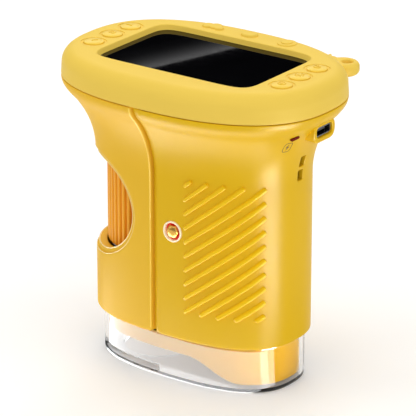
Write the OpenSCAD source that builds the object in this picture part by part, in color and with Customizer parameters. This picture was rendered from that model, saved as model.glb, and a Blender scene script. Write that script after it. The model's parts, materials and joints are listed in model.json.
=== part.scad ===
// Hand-held digital microscope for children: an oval screen head on a grip, a focus wheel
// in a thumb scoop, and a clear foot that takes a glass specimen slide.
// Millimetres, +Z up. The origin is on the table, under the middle of the grip. +X points to
// the end with the charging socket, -X to the end with the focus wheel.

/* [Head] */
// Height of the flat top face above the table
head_h = 101.3; // [100.8:0.1:101.8]
// Height of the seam between head and grip
seam_z = 92.4; // [92.2:0.1:92.6]
// Edge radius round the top face
head_fillet = 5; // [4.6:0.1:5.2]
// Outline exponent of the head, where 2 is an ellipse
head_n = 2.45; // [2.4:0.01:2.5]
// Half length of the screen window
window_a = 29.4; // [29:0.1:29.6]
// Half width of the screen window
window_b = 19.4; // [19:0.1:19.6]
// Thickness of the face plate
plate_t = 1.6; // [1.5:0.05:1.7]

/* [Buttons] */
// Distance of each row of buttons from the middle
button_x = 35.3; // [35:0.1:35.6]
// Place of the middle button of a row along Y
button_y = 0.2; // [-0.3:0.1:0.3]
// Distance between two buttons of a row
button_pitch = 9.4; // [9.2:0.1:9.5]
// Radius of a button
button_r = 3.2; // [3:0.05:3.25]
// How far a button moves when it is pressed
button_travel = 0.7; // [0.5:0.1:0.7]

/* [Grip] */
// Half length of the grip
grip_a = 36; // [35.8:0.1:36.2]
// Half width of the grip
grip_b = 21.7; // [21.6:0.1:21.9]
// Outline exponent of the grip, where 2 is an ellipse
grip_n = 2.56; // [2.5:0.01:2.6]
// Height of the grip's lower edge above the table
grip_z = 15.4; // [15.3:0.1:15.6]
// Wall thickness of both grip shells
wall = 1.6; // [1.5:0.05:1.65]
// Height where the neck starts to flare
neck_z = 67.7; // [67:0.1:68]
// Height of the crease where the flare meets the rim
crease_z = 86.2; // [86:0.1:86.4]
// How far the rim swells out above the crease
rim_w = 3.9; // [3.7:0.1:4]

/* [Clear foot] */
// Half length of the clear foot
foot_a = 34.4; // [34.3:0.1:34.6]
// Half width of the clear foot
foot_b = 19.4; // [19.3:0.1:19.6]
// Thickness of the floor
foot_floor = 1.2; // [1:0.1:1.3]
// Radius of the round viewing opening in the floor
view_r = 11; // [10.5:0.5:11]
// Width of the slot that a specimen slide goes through
slide_w = 27.6; // [27:0.1:28]
// Height of the slot
slide_h = 2.2; // [1.8:0.1:2.4]

/* [Focus] */
// Distance of the focus wheel's axis from the middle, towards -X
axis_x = 17.3; // [17.2:0.1:17.4]
// Outer radius of the focus wheel over its ribs
wheel_r = 16.2; // [16:0.1:16.3]
// Number of ribs round the focus wheel
wheel_ribs = 48; // [36:4:60]
// Rise of the lens barrel in one turn of the wheel
cam_lead = 9; // [8:0.5:9]
// How far the wheel turns each way, in degrees
wheel_turn = 120; // [90:5:120]
// Radius of the two cam pins
pin_r = 1.05; // [1:0.01:1.06]

/* [Hidden] */
$fn = 48;
eps = 0.01;

// Neck: a quarter of a wide ellipse up to the crease, then a swelling rim up to the seam.
flare_h = 36.7;
flare_w = 47.9;
rim_power = 1.05;
head_a = grip_a + neck_out(seam_z);
head_b = grip_b + neck_out(seam_z);

// Head, from its lower edge inwards.
seam_gap = 0.15;
head_z = seam_z + seam_gap;
side_draft = 0.2;
head_wall = 2.2;
plate_z = head_h - plate_t;
window_n = 9;
window_bevel = 0.7;
lip_z = 90.4;
lip_out = 2.4;
lip_in = 3.8;
boss_x = 20;
boss_y = 22;

// Buttons.
button_gap = 0.25;
button_top = head_h + 0.8;
moat_r = 4.05;
moat_depth = 0.35;
button_foot = plate_z - 0.55;

// Grip shells: the front one ends at the seam line, and the rear one has a tongue under it.
front_end = -4.25;
rear_end = -3.4;
tongue_end = -6.2;
tongue_depth = 1;
rabbet_gap = 0.1;
front_proud = 0.25;
rows = 40;

// Thumb scoop, seen from the side.
scoop_x = -30;
scoop_z = 52.2;
scoop_a = 17.4;
scoop_b = 15;

// Grip ribs, seen from the side.
rib_count = 14;
rib_pitch = 4.61;
rib_slope = 0.846;
rib_first_z = 66.7;
rib_x0 = 8.1;
rib_x1 = 32.2;
rib_back_x1 = 28;
rib_z0 = 25.2;
rib_z1 = 69;
rib_w = 1.25;
rib_h = 0.7;
rib_root = 0.25;

// Strap slots and side fitting in the rear shell.
strap_y = 0.15;
strap_w = 2.9;
strap_h = 3.5;
strap_zs = [69.95, 74.65];
fitting_x = 3.9;
fitting_z = 51;
fitting_r = 3.4;

// Charging socket: the opening of a micro-USB port, in a raised boss.
usb_w = 8.4;
usb_h = 3.45;
usb_y = 1;
usb_z = 85.8;
usb_face = 44.2;
usb_rim = 1.5;

// Status light.
light_at = [41, -10.4, 85.9];
light_yaw = -22;

// Heights of the parts in the head.
glass_z = plate_z - 1.15;
lcd_z = 96.2;
tray_z = 95.4;
board_z = 87.3;
board_t = 1.6;
key_z = 95.6;
key_t = 1.2;
key_post_x = 2.7;

// Clear foot and the skirt inside it.
foot_n = 2.57;
foot_top = 15.1;
collar_top = 20.9;
foot_wall = 1.8;
skirt_a = 32.2;
skirt_b = 17.2;
skirt_wall = 1.2;
skirt_low = 2.3;
skirt_high = 9;
skirt_top = 22.8;
deck_t = 1.4;
deck_z = skirt_top + deck_t;
sweep_x0 = 6.5;
sweep_x1 = 25;

// Focus drive.
wheel_z0 = 37.6;
wheel_z1 = 66.8;
sleeve_r = 13.85;
tube_r = 12.34;
tube_bore = 10.6;
tube_top = 69.8;
barrel_r = 10.55;
pin_z = 52.2;
run_gap = 0.06;
groove_r = 13.3;
pin_end = 13.1;
slot_w = 2 * pin_r + 0.2;
travel = cam_lead * wheel_turn / 360;

// Loop for a lanyard.
loop_dir = 39;
loop_dist = 43;
loop_r = 5;
loop_hole_dist = 44.2;
loop_hole_r = 1.7;
loop_z = 94.5;
loop_t = 4;

// ---------- outlines ----------

// How far the outline of the neck stands outside the grip at height z.
function neck_out(z) =
    z <= neck_z ? 0 :
    z <= crease_z ? flare_w * (1 - sqrt(1 - pow((z - neck_z) / flare_h, 2))) :
    neck_out(crease_z) + rim_w * pow(sin(90 * min(1, (z - crease_z) / (seam_z - crease_z))), rim_power);

// One point of a superellipse, at parameter t in degrees.
function oval_point(t, a, b, n) =
    [a * sign(cos(t)) * pow(abs(cos(t)), 2 / n), b * sign(sin(t)) * pow(abs(sin(t)), 2 / n)];

function oval(a, b, n, m = 64) = [for (i = [0:m - 1]) oval_point(360 * i / m, a, b, n)];

// The parameter at which a superellipse crosses the line x, on its +Y side.
function oval_cross(x, a, n) = acos(sign(x) * pow(abs(x) / a, n / 2));

// Half width of a superellipse at x.
function oval_y(x, a, b, n) = b * pow(1 - pow(abs(x) / a, n), 1 / n);

function lift(points, z) = [for (p = points) [p[0], p[1], z]];

// ---------- solids from rings ----------

// Skins a list of rings of equal length. A closed list joins its last ring to its first;
// an open one gets a flat face on each end, split into the polygons of cap where one is given.
module skin(rings, closed = false, cap = undef) {
    m = len(rings[0]);
    last = len(rings) - (closed ? 1 : 2);
    top = (len(rings) - 1) * m;
    pieces = is_undef(cap) ? [[for (i = [0:m - 1]) i]] : cap;
    sides = [for (j = [0:last], i = [0:m - 1])
        let (k = (j + 1) % len(rings), i2 = (i + 1) % m)
        each [[j * m + i, k * m + i, j * m + i2], [j * m + i2, k * m + i, k * m + i2]]];
    ends = closed ? [] : concat(pieces,
        [for (f = pieces) [for (i = [len(f) - 1:-1:0]) top + f[i]]]);
    polyhedron([for (r = rings) each r], concat(sides, ends), convexity = 10);
}

// A prism on a superellipse.
module oval_plate(a, b, n, z, t) {
    translate([0, 0, z]) linear_extrude(t) polygon(oval(a, b, n));
}

// A rounded rectangle, centred.
module rounded(l, w, r) {
    square([l - 2 * r, w], center = true);
    square([l, w - 2 * r], center = true);
    for (x = [-1, 1], y = [-1, 1])
        translate([x * (l / 2 - r), y * (w / 2 - r)]) circle(r);
}

module slab(l, w, r, z, t) {
    translate([0, 0, z]) linear_extrude(t) rounded(l, w, r);
}

module ring(r_out, r_in, z, t) {
    translate([0, 0, z]) difference() {
        cylinder(r = r_out, h = t);
        translate([0, 0, -1]) cylinder(r = r_in, h = t + 2);
    }
}

module on_axis() {
    translate([-axis_x, 0, 0]) children();
}

// A lens on the optical axis: a cylinder with two domed faces.
module lens(r, z, edge, dome) {
    radius = (r * r + dome * dome) / (2 * dome);
    steps = 6;
    arc = [for (i = [0:steps]) let (x = r * i / steps)
        [x, sqrt(radius * radius - x * x) - radius + dome]];
    upper = [for (p = arc) [p[0], z + edge + p[1]]];
    lower = [for (i = [steps:-1:0]) [arc[i][0], z - arc[i][1]]];
    on_axis() rotate_extrude($fn = 64) polygon(concat(upper, lower));
}

// ---------- head ----------

// The head's face is a ring of sections: outside wall, rounded edge, face, window, inside.
module bezel_body() {
    steps = 5;
    function outer(o, z) = lift(oval(head_a - o, head_b - o, head_n, 72), z);
    edge = [for (i = [0:steps]) let (q = 90 * i / steps)
        outer(side_draft + head_fillet * (1 - cos(q)), head_h - head_fillet * (1 - sin(q)))];
    inner_r = head_fillet - head_wall;
    inside = [for (i = [3:-1:0]) let (q = 90 * i / 3)
        outer(head_wall + inner_r * (1 - cos(q)), plate_z - inner_r * (1 - sin(q)))];
    skin(concat(
        [outer(0, head_z)],
        edge,
        [lift(oval(window_a, window_b, window_n, 72), head_h)],
        [lift(oval(window_a - window_bevel, window_b - window_bevel, window_n, 72), plate_z)],
        inside,
        [outer(head_wall, head_z + 1.2)],
        [outer(lip_in, head_z)],
        [outer(lip_in, lip_z)],
        [outer(lip_out, lip_z)],
        [outer(lip_out, head_z)]), closed = true);
}

module button_places() {
    for (sx = [-1, 1], i = [-1:1])
        translate([sx * button_x, button_y + i * button_pitch, 0]) children();
}

module top_bezel() {
    color([0.95, 0.8, 0.33]) union() {
        difference() {
            bezel_body();
            button_places() {
                translate([0, 0, plate_z - 1]) cylinder(r = button_r + button_gap, h = plate_t + 2);
                translate([0, 0, head_h - moat_depth]) cylinder(r = moat_r, h = 1);
            }
        }
        for (sx = [-1, 1], sy = [-1, 1])
            translate([sx * boss_x, sy * boss_y, 0])
                ring(2.2, 0.8, board_z + board_t, plate_z + 0.4 - board_z - board_t);
    }
}

module lanyard_loop() {
    color([0.95, 0.8, 0.33]) rotate([0, 0, loop_dir]) translate([0, 0, loop_z]) difference() {
        union() {
            translate([loop_dist, 0, 0]) cylinder(r = loop_r, h = loop_t);
            translate([loop_dist - 2.6, -loop_r - 1, 0]) cube([2.6, 2 * loop_r + 2, loop_t]);
        }
        translate([loop_hole_dist, 0, -1]) cylinder(r = loop_hole_r, h = loop_t + 2);
    }
}

module top_ornaments() {
    color([0.95, 0.8, 0.33]) {
        for (p = [[-15.6, 24, 1.9], [-13, 24.6, 2.2], [-11, 23.6, 1.5]])
            translate([p[0], p[1], head_h]) cylinder(r1 = p[2], r2 = p[2] - 0.4, h = 0.6);
        translate([0.3, 24, head_h]) cylinder(r1 = 2.7, r2 = 1.9, h = 0.7);
        translate([14.4, 24, head_h]) {
            cylinder(r1 = 3.2, r2 = 2.9, h = 0.35);
            cylinder(r1 = 2, r2 = 1.5, h = 0.7);
        }
    }
}

// ---------- buttons ----------

module button(sx, i) {
    dome = 0.55;
    edge_z = button_top - dome;
    steps = 4;
    crown = [for (k = [0:steps]) let (q = 90 * k / steps)
        [button_r * sin(q), edge_z + dome * cos(q)]];
    color([0.93, 0.77, 0.29])
        translate([sx * button_x, button_y + i * button_pitch, 0]) rotate_extrude()
            polygon(concat(crown, [
                [button_r, plate_z - 0.1], [button_r + 0.7, plate_z - 0.1],
                [button_r + 0.7, button_foot + 0.05], [1.3, button_foot + 0.05],
                [1.3, button_foot - 0.05], [0, button_foot - 0.05]]));
}

module button_up() button(-1, 1);
module button_ok() button(-1, 0);
module button_down() button(-1, -1);
module button_power() button(1, 1);
module button_light() button(1, 0);
module button_capture() button(1, -1);

module key_board(sx) {
    color([0.1, 0.4, 0.25]) translate([sx * button_x, button_y, 0]) {
        slab(8, 27.4, 2, key_z, key_t);
        for (y = [-1, 1])
            translate([sx * key_post_x, y * button_pitch / 2, key_z + 0.5])
                cylinder(r = 1.1, h = plate_z - 0.05 - key_z - 0.5);
    }
}

module key_board_left() key_board(-1);
module key_board_right() key_board(1);

module switches(sx) {
    body = 4.2;
    top = button_foot - button_travel - 0.1;
    color([0.2, 0.2, 0.22]) for (i = [-1:1])
        translate([sx * button_x, button_y + i * button_pitch, 0]) {
            slab(body, body, 0.4, key_z + key_t, 1);
            translate([0, 0, key_z + key_t + 0.5]) cylinder(r = 0.9, h = top - key_z - key_t - 0.5);
        }
}

module switches_left() switches(-1);
module switches_right() switches(1);

// ---------- screen ----------

module screen_glass() {
    color([0.03, 0.03, 0.04, 0.9])
        oval_plate(window_a + 0.8, window_b + 0.2, window_n, glass_z, plate_z - 0.05 - glass_z);
}

module screen_gasket() {
    color([0.08, 0.08, 0.08]) difference() {
        slab(58.4, 38.8, 3, lcd_z + 1.7, glass_z - lcd_z - 1.7);
        slab(54.4, 34.8, 2, lcd_z + 1, 2);
    }
}

module lcd_panel() {
    color([0.05, 0.05, 0.08]) slab(56.4, 37.2, 1.5, lcd_z, 1.7);
}

module lcd_tray() {
    color([0.75, 0.76, 0.78]) difference() {
        slab(57.6, 38.4, 2, tray_z, 1.8);
        slab(56.6, 37.4, 1.6, lcd_z - eps, 2);
    }
}

module lcd_flex() {
    top = tray_z - 0.05;
    foot = board_z + board_t;
    color([0.75, 0.5, 0.15]) translate([-24, -8, 0]) {
        translate([0, 0, foot]) cube([0.3, 16, top - foot]);
        translate([-4, 0, top - 0.3]) cube([4.1, 16, 0.3]);
        translate([0, 0, foot]) cube([5, 16, 0.3]);
    }
}

module main_board() {
    color([0.08, 0.35, 0.22]) difference() {
        oval_plate(40.3, 25, 2.5, board_z, board_t);
        for (sx = [-1, 1], sy = [-1, 1])
            translate([sx * boss_x, sy * boss_y, board_z - 1]) cylinder(r = 0.95, h = board_t + 2);
    }
}

module board_chips() {
    top = board_z + board_t;
    color([0.12, 0.12, 0.13]) {
        translate([-4, -6, 0]) slab(12, 12, 0.3, top, 1.2);
        translate([12, 4, 0]) slab(8, 6, 0.3, top, 1);
        translate([-14, 12, 0]) slab(5, 5, 0.3, top, 0.9);
        translate([22, -10, 0]) slab(4, 4, 0.3, top, 0.9);
        translate([24, 12, 0]) slab(7, 3, 0.3, top, 0.8);
    }
}

module board_screws() {
    color([0.7, 0.7, 0.72]) for (sx = [-1, 1], sy = [-1, 1])
        translate([sx * boss_x, sy * boss_y, 0]) difference() {
            union() {
                translate([0, 0, board_z - 1.2]) cylinder(r = 1.8, h = 1.2);
                translate([0, 0, board_z - 0.1]) cylinder(r = 0.75, h = 7);
            }
            translate([0, 0, board_z - 1.8]) cylinder(r = 0.7, h = 1.2, $fn = 6);
        }
}

// ---------- charging socket and status light ----------

module facing_x(x, y, z) {
    translate([x, y, z]) rotate([90, 0, 90]) children();
}

module usb_shell() {
    depth = 6.2;
    color([0.75, 0.75, 0.77]) facing_x(usb_face - 0.6 - depth, usb_y, usb_z) difference() {
        linear_extrude(depth) rounded(7.5, 2.7, 0.8);
        translate([0, 0, 0.4]) linear_extrude(depth) rounded(7, 2.2, 0.6);
    }
}

module usb_tongue() {
    color([0.06, 0.06, 0.06]) facing_x(usb_face - 6.3, usb_y, usb_z)
        translate([0, 0.3, 0]) linear_extrude(4.9) square([3.8, 0.7], center = true);
}

module light_slot(grow, depth) {
    translate(light_at) rotate([0, 0, light_yaw]) rotate([90, 0, 90]) rotate([0, 0, 14])
        translate([0, 0, -depth]) linear_extrude(depth + (grow > 0 ? 3 : 0.45))
            rounded(3 + grow, 0.8 + grow, 0.35 + grow / 2);
}

module light_pipe() {
    color([0.35, 0.28, 0.2, 0.6]) light_slot(0, 3);
}

module charge_led() {
    color([0.9, 0.9, 0.85]) translate(light_at) rotate([0, 0, light_yaw])
        translate([-4.4, -1, -0.5]) cube([1.2, 2, 1.2]);
}

// ---------- grip ----------

// Outline exponent at height z: the grip's own up to the neck, blending to the head's.
function outline_n(z) =
    grip_n + (head_n - grip_n) * min(1, max(0, (z - neck_z) / (seam_z - neck_z)));

// Heights of the sections of a shell, and how far its lower edge is rounded at each.
edge_levels = [[grip_z, 0.85], [grip_z + 0.3, 0.35], [grip_z + 1, 0]];
neck_levels = [for (z = [neck_z, 70.5, 73.2, 75.8, 78.2, 80.4, 82.5, 84.4, crease_z,
    87.2, 88.3, 89.6, 91, seam_z]) [z, 0]];
levels = concat(edge_levels, neck_levels);

function proud(z) = front_proud * min(1, max(0, (seam_z - z) / (seam_z - crease_z)));

// One half of the grip. The wall steps at its free ends, so the two halves overlap.
// side is 1 for the rear half and -1 for the front half, which ends at x_out.
function half_section(side, z, round_off) = let (
        n = outline_n(z),
        grow = neck_out(z) + (side < 0 ? proud(z) : 0),
        a = grip_a + grow - round_off,
        b = grip_b + grow - round_off,
        x_out = side > 0 ? rear_end : front_end,
        x_in = side > 0 ? tongue_end : tongue_end - rabbet_gap,
        step = side > 0 ? tongue_depth : tongue_depth - rabbet_gap,
        a1 = grip_a + neck_out(z) - step,
        b1 = grip_b + neck_out(z) - step,
        a2 = grip_a + neck_out(z) - wall,
        b2 = grip_b + neck_out(z) - wall,
        t0 = oval_cross(x_out, a, n),
        t2 = oval_cross(x_out, a2, n),
        from = side > 0 ? -t0 : t0,
        to = side > 0 ? t0 : 360 - t0,
        back = side > 0 ? t2 : 360 - t2,
        fore = side > 0 ? -t2 : t2,
        step_out = [x_out, side * oval_y(x_out, a1, b1, n)],
        step_in = [x_in, side * oval_y(x_in, a1, b1, n)],
        tip = [x_in, side * oval_y(x_in, a2, b2, n)])
    lift(concat(
        [for (i = [0:rows]) oval_point(from + (to - from) * i / rows, a, b, n)],
        [step_out, step_in, tip],
        [for (i = [0:rows]) oval_point(back + (fore - back) * i / rows, a2, b2, n)],
        [[tip[0], -tip[1]], [step_in[0], -step_in[1]], [step_out[0], -step_out[1]]]), z);

// The end faces of a half: a strip between its outer and inner arcs, and the tongue at each end.
half_cap = let (m = rows, far = 2 * m + 4)
    concat(
        [for (i = [1:m - 2]) [i, i + 1, far - i - 1, far - i]],
        [[m - 1, m, m + 1, m + 4, m + 5], [far - 1, far, far + 3, 0, 1]],
        [[m + 1, m + 2, m + 3, m + 4], [far, far + 1, far + 2, far + 3]]);

module half_shell(side) {
    skin([for (l = levels) half_section(side, l[0], l[1])], cap = half_cap);
}

module scoop() {
    outline = [for (i = [0:47]) [scoop_x + scoop_a * cos(7.5 * i), scoop_z + scoop_b * sin(7.5 * i)]];
    translate([0, 40, 0]) rotate([90, 0, 0]) linear_extrude(80) polygon(outline);
}

module front_shell() {
    color([0.9, 0.72, 0.25]) difference() {
        half_shell(-1);
        scoop();
    }
}

module rear_shell() {
    color([0.93, 0.75, 0.22]) difference() {
        union() {
            half_shell(1);
            facing_x(grip_a + neck_out(usb_z) - wall, usb_y, usb_z)
                linear_extrude(usb_face - grip_a - neck_out(usb_z) + wall)
                    rounded(usb_w + 2 * usb_rim, usb_h + 2 * usb_rim, 1.2 + usb_rim);
        }
        facing_x(grip_a, usb_y, usb_z) linear_extrude(12) rounded(usb_w, usb_h, 1.2);
        for (z = strap_zs)
            translate([30, strap_y - strap_w / 2, z - strap_h / 2]) cube([14, strap_w, strap_h]);
        translate([fitting_x, 0, fitting_z]) rotate([90, 0, 0]) cylinder(r = fitting_r + 0.05, h = 30);
        light_slot(0.1, 5);
    }
}

// Height of a rib's line at x = 0, and where the rib starts and stops along X.
function rib_z(k) = rib_first_z - rib_pitch * k - rib_slope * rib_x0;
function rib_start(k) = max(rib_x0, (rib_z0 - rib_z(k)) / rib_slope);
function rib_stop(side, k) = min(side > 0 ? rib_back_x1 : rib_x1, (rib_z1 - rib_z(k)) / rib_slope);

// Raised diagonal ribs: each follows the outside of the grip from one end to the other.
module grip_rib(side, k) {
    z_at0 = rib_z(k);
    x0 = rib_start(k);
    x1 = rib_stop(side, k);
    run = rib_w / 2 * sqrt(1 + rib_slope * rib_slope);
    steps = max(2, round((x1 - x0) / 4));
    // Section across the rib: distance up the slope, and height above the grip.
    profile = [[-run, -rib_root], [-run, 0.1], [-run / 2, rib_h], [run / 2, rib_h], [run, 0.1],
        [run, -rib_root]];
    function place(x, p, lower) = let (x2 = min(x, grip_a - 1), h = min(p[1], lower))
        [x2, side * oval_y(x2, grip_a + h, grip_b + h, grip_n), z_at0 + rib_slope * x2 + p[0]];
    rings = [for (i = [0:steps]) let (x = x0 + (x1 - x0) * i / steps, end = i == 0 || i == steps)
        [for (p = profile) place(x, p, end ? 0.15 : rib_h)]];
    mirrored = side > 0 ? rings : [for (r = rings) [for (i = [len(r) - 1:-1:0]) r[i]]];
    skin(mirrored);
}

module grip_ribs() {
    color([0.93, 0.75, 0.22]) for (side = [-1, 1], k = [0:rib_count - 1])
        if (rib_stop(side, k) - rib_start(k) > rib_w) grip_rib(side, k);
}

module through_wall(r, y0, y1) {
    translate([fitting_x, y1, fitting_z]) rotate([90, 0, 0]) cylinder(r = r, h = y1 - y0);
}

module side_ring() {
    color([0.96, 0.9, 0.72]) difference() {
        through_wall(fitting_r, -22, -18.2);
        through_wall(2.9, -23, -17);
    }
}

module side_washer() {
    color([0.8, 0.08, 0.06]) difference() {
        through_wall(2.85, -20.8, -20.2);
        through_wall(2, -21.5, -19);
    }
}

module side_post() {
    color([0.8, 0.62, 0.2]) union() {
        translate([fitting_x, -18.1, fitting_z]) rotate([90, 0, 0]) cylinder(r = 1.9, h = 3.7, $fn = 6);
        through_wall(2.7, -18.1, -15.5);
    }
}

// ---------- clear foot and skirt ----------

module clear_foot() {
    function ring_at(o, z) = lift(oval(foot_a - o, foot_b - o, foot_n), z);
    collar = 0.8;
    color([0.92, 0.95, 0.96, 0.35]) difference() {
        skin([ring_at(0.7, 0), ring_at(0.2, 0.25), ring_at(0, 0.8), ring_at(0, foot_top),
            ring_at(collar, foot_top), ring_at(collar, collar_top), ring_at(foot_wall, collar_top),
            ring_at(foot_wall, foot_floor)]);
        on_axis() translate([0, 0, -1]) cylinder(r = view_r, h = foot_floor + 2);
        on_axis() translate([-slide_w / 2, -30, foot_floor]) cube([slide_w, 60, slide_h]);
    }
}

// The skirt's lower edge: level, then a sweep down to the end with the socket.
function skirt_edge(x) = let (u = min(1, max(0, (x - sweep_x0) / (sweep_x1 - sweep_x0))))
    skirt_high - (skirt_high - skirt_low) * (1 - cos(180 * u)) / 2;

module inner_skirt() {
    below = concat([[-50, 0], [50, 0]], [[50, skirt_low]],
        [for (i = [12:-1:0]) let (x = sweep_x0 + (sweep_x1 - sweep_x0) * i / 12) [x, skirt_edge(x)]],
        [[-50, skirt_high]]);
    color([0.93, 0.7, 0.1]) difference() {
        union() {
            oval_plate(skirt_a, skirt_b, foot_n, skirt_low, skirt_top - skirt_low + eps);
            oval_plate(grip_a - wall - 0.25, grip_b - wall - 0.25, grip_n, skirt_top, deck_t);
        }
        oval_plate(skirt_a - skirt_wall, skirt_b - skirt_wall, foot_n, 0, skirt_top);
        translate([0, 40, 0]) rotate([90, 0, 0]) linear_extrude(80) polygon(below);
        on_axis() cylinder(r = 9.5, h = 40);
        for (y = [-12, 12]) translate([16, y, skirt_top - 1]) cylinder(r = 0.8, h = 4);
    }
}

module led_board() {
    color([0.9, 0.9, 0.88]) on_axis() ring(13.2, 9.2, skirt_top - 1.2, 1.2);
}

module leds() {
    color([0.95, 0.9, 0.6]) on_axis() for (i = [0:7])
        rotate([0, 0, 45 * i]) translate([10.2, -1, skirt_top - 2]) cube([2, 2, 0.8]);
}

module led_diffuser() {
    color([0.95, 0.95, 0.95, 0.6]) on_axis() union() {
        ring(13.3, 7.6, skirt_top - 3.8, 1.2);
        ring(8.6, 7.6, skirt_top - 2.7, 2.7);
    }
}

// ---------- focus drive ----------

module focus_wheel() {
    root_r = wheel_r - 0.65;
    step = 360 / wheel_ribs;
    outline = [for (i = [0:wheel_ribs - 1]) each [
        for (c = [[-0.27, root_r], [-0.15, wheel_r], [0.15, wheel_r], [0.27, root_r]])
            c[1] * [cos(step * (i + c[0])), sin(step * (i + c[0]))]]];
    color([0.95, 0.62, 0.15]) on_axis() translate([0, 0, wheel_z0]) difference() {
        linear_extrude(wheel_z1 - wheel_z0) polygon(outline);
        translate([0, 0, -1]) cylinder(r = sleeve_r + 0.05, h = wheel_z1 - wheel_z0 + 2);
    }
}

// A groove in the sleeve's bore that falls as the angle grows, so that a turn lifts the pins.
module cam_groove(start) {
    half = wheel_turn + 12;
    steps = 44;
    w = slot_w / 2;
    skin([for (i = [0:steps]) let (q = -half + 2 * half * i / steps, z = pin_z - cam_lead * q / 360)
        [for (c = [[tube_r - 1, w], [groove_r, w], [groove_r, -w], [tube_r - 1, -w]])
            [c[0] * cos(start + q), c[0] * sin(start + q), z + c[1]]]]);
}

module cam_sleeve() {
    color([0.93, 0.93, 0.9]) on_axis() difference() {
        ring(sleeve_r, tube_r + run_gap, wheel_z0, wheel_z1 - wheel_z0);
        cam_groove(90);
        cam_groove(270);
    }
}

module guide_tube() {
    slot_h = 2 * (travel + pin_r + 0.25);
    ear_y = 12.8;
    color([0.15, 0.15, 0.16]) on_axis() difference() {
        union() {
            translate([0, 0, deck_z]) cylinder(r = tube_r, h = tube_top - deck_z);
            translate([0, 0, deck_z]) cylinder(r = 14.6, h = 1.6);
            translate([0, 0, wheel_z0 - 2.2]) cylinder(r = 15, h = 1.5);
            for (s = [-1, 1]) translate([0, s * ear_y, 68.3]) cylinder(r = 1.7, h = tube_top - 68.3);
        }
        translate([0, 0, deck_z - 1]) cylinder(r = tube_bore, h = 60);
        translate([-slot_w / 2, -20, pin_z - slot_h / 2]) cube([slot_w, 40, slot_h]);
        for (s = [-1, 1]) translate([0, s * ear_y, 67]) cylinder(r = 0.7, h = 5);
    }
}

module lower_washer() {
    color([0.95, 0.95, 0.92]) on_axis() ring(15.2, tube_r + 0.05, wheel_z0 - 0.7, 0.6);
}

module retaining_ring() {
    color([0.3, 0.3, 0.32]) on_axis() ring(14.9, tube_r + 0.02, wheel_z1 + 0.15, 1.1);
}

module lens_barrel() {
    color([0.12, 0.12, 0.13]) on_axis() difference() {
        rotate_extrude($fn = 64) polygon([[7.2, 40], [barrel_r, 40], [barrel_r, 62], [6.2, 62],
            [6.2, 59.4], [5.4, 59.4], [5.4, 57], [6.8, 57], [6.8, 46.6], [6, 46.6], [6, 45.6],
            [7.2, 45.6]]);
        for (s = [-1, 1]) translate([0, s * 10, pin_z]) rotate([90, 0, 0])
            cylinder(r = pin_r + 0.02, h = 4.6, center = true);
    }
}

module objective_lens() {
    color([0.8, 0.9, 1, 0.4]) lens(7.15, 43.6, 1.2, 0.75);
}

module rear_lens() {
    color([0.8, 0.9, 1, 0.4]) lens(6.15, 60.05, 1, 0.6);
}

module lens_nut() {
    color([0.2, 0.2, 0.22]) on_axis() ring(7.15, 5.6, 40.2, 2.4);
}

module cam_pins() {
    color([0.8, 0.8, 0.82]) on_axis() for (s = [-1, 1])
        translate([0, s * (pin_end + 8.2) / 2, pin_z]) rotate([90, 0, 0])
            cylinder(r = pin_r, h = pin_end - 8.2, center = true);
}

// ---------- camera and battery ----------

module camera_board() {
    color([0.08, 0.35, 0.22]) on_axis() difference() {
        slab(18, 28.6, 4, tube_top, 1.2);
        for (s = [-1, 1]) translate([0, s * 12.8, tube_top - 1]) cylinder(r = 0.9, h = 4);
    }
}

module image_sensor() {
    color([0.1, 0.12, 0.2]) on_axis() slab(8, 8, 0.4, tube_top - 1.2, 1.2);
}

module camera_screws() {
    color([0.7, 0.7, 0.72]) on_axis() for (s = [-1, 1]) translate([0, s * 12.8, 0]) {
        translate([0, 0, tube_top + 1.2]) cylinder(r = 1.5, h = 0.9);
        translate([0, 0, 68.5]) cylinder(r = 0.6, h = tube_top + 1.3 - 68.5);
    }
}

module camera_flex() {
    foot = tube_top + 1.2;
    color([0.75, 0.5, 0.15]) on_axis() translate([0, -5, 0]) {
        translate([-4, 0, foot]) cube([5, 10, 0.3]);
        translate([0.7, 0, foot]) cube([0.3, 10, board_z - foot]);
        translate([0.7, 0, board_z - 0.3]) cube([5, 10, 0.3]);
    }
}

module battery() {
    color([0.25, 0.45, 0.75]) translate([16, 0, 0]) slab(24, 14, 3, 25.8, 38);
}

module battery_cradle() {
    color([0.2, 0.2, 0.21]) difference() {
        union() {
            translate([16, 0, 0]) slab(27, 17, 4, deck_z, 26);
            for (s = [-1, 1]) translate([16, s * 12, deck_z]) cylinder(r = 3, h = 1.4);
            translate([13, -12, deck_z]) cube([6, 24, 1.4]);
        }
        translate([16, 0, 0]) slab(24.4, 14.4, 3, 25.7, 40);
        for (s = [-1, 1]) translate([16, s * 12, deck_z - 1]) cylinder(r = 0.9, h = 4);
    }
}

module cradle_screws() {
    color([0.7, 0.7, 0.72]) for (s = [-1, 1]) translate([16, s * 12, 0]) {
        translate([0, 0, deck_z + 1.4]) cylinder(r = 1.7, h = 1.1);
        translate([0, 0, skirt_top + 0.1]) cylinder(r = 0.7, h = deck_z + 1.5 - skirt_top - 0.1);
    }
}

top_bezel();
lanyard_loop();
top_ornaments();
front_shell();
rear_shell();
grip_ribs();
inner_skirt();
clear_foot();
screen_glass();
screen_gasket();
lcd_panel();
lcd_tray();
lcd_flex();
button_up();
button_ok();
button_down();
button_power();
button_light();
button_capture();
key_board_left();
key_board_right();
switches_left();
switches_right();
main_board();
board_chips();
board_screws();
usb_shell();
usb_tongue();
charge_led();
light_pipe();
battery();
battery_cradle();
cradle_screws();
camera_board();
image_sensor();
camera_screws();
camera_flex();
guide_tube();
lower_washer();
retaining_ring();
lens_barrel();
objective_lens();
rear_lens();
lens_nut();
cam_pins();
focus_wheel();
cam_sleeve();
led_board();
leds();
led_diffuser();
side_ring();
side_washer();
side_post();
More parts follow.
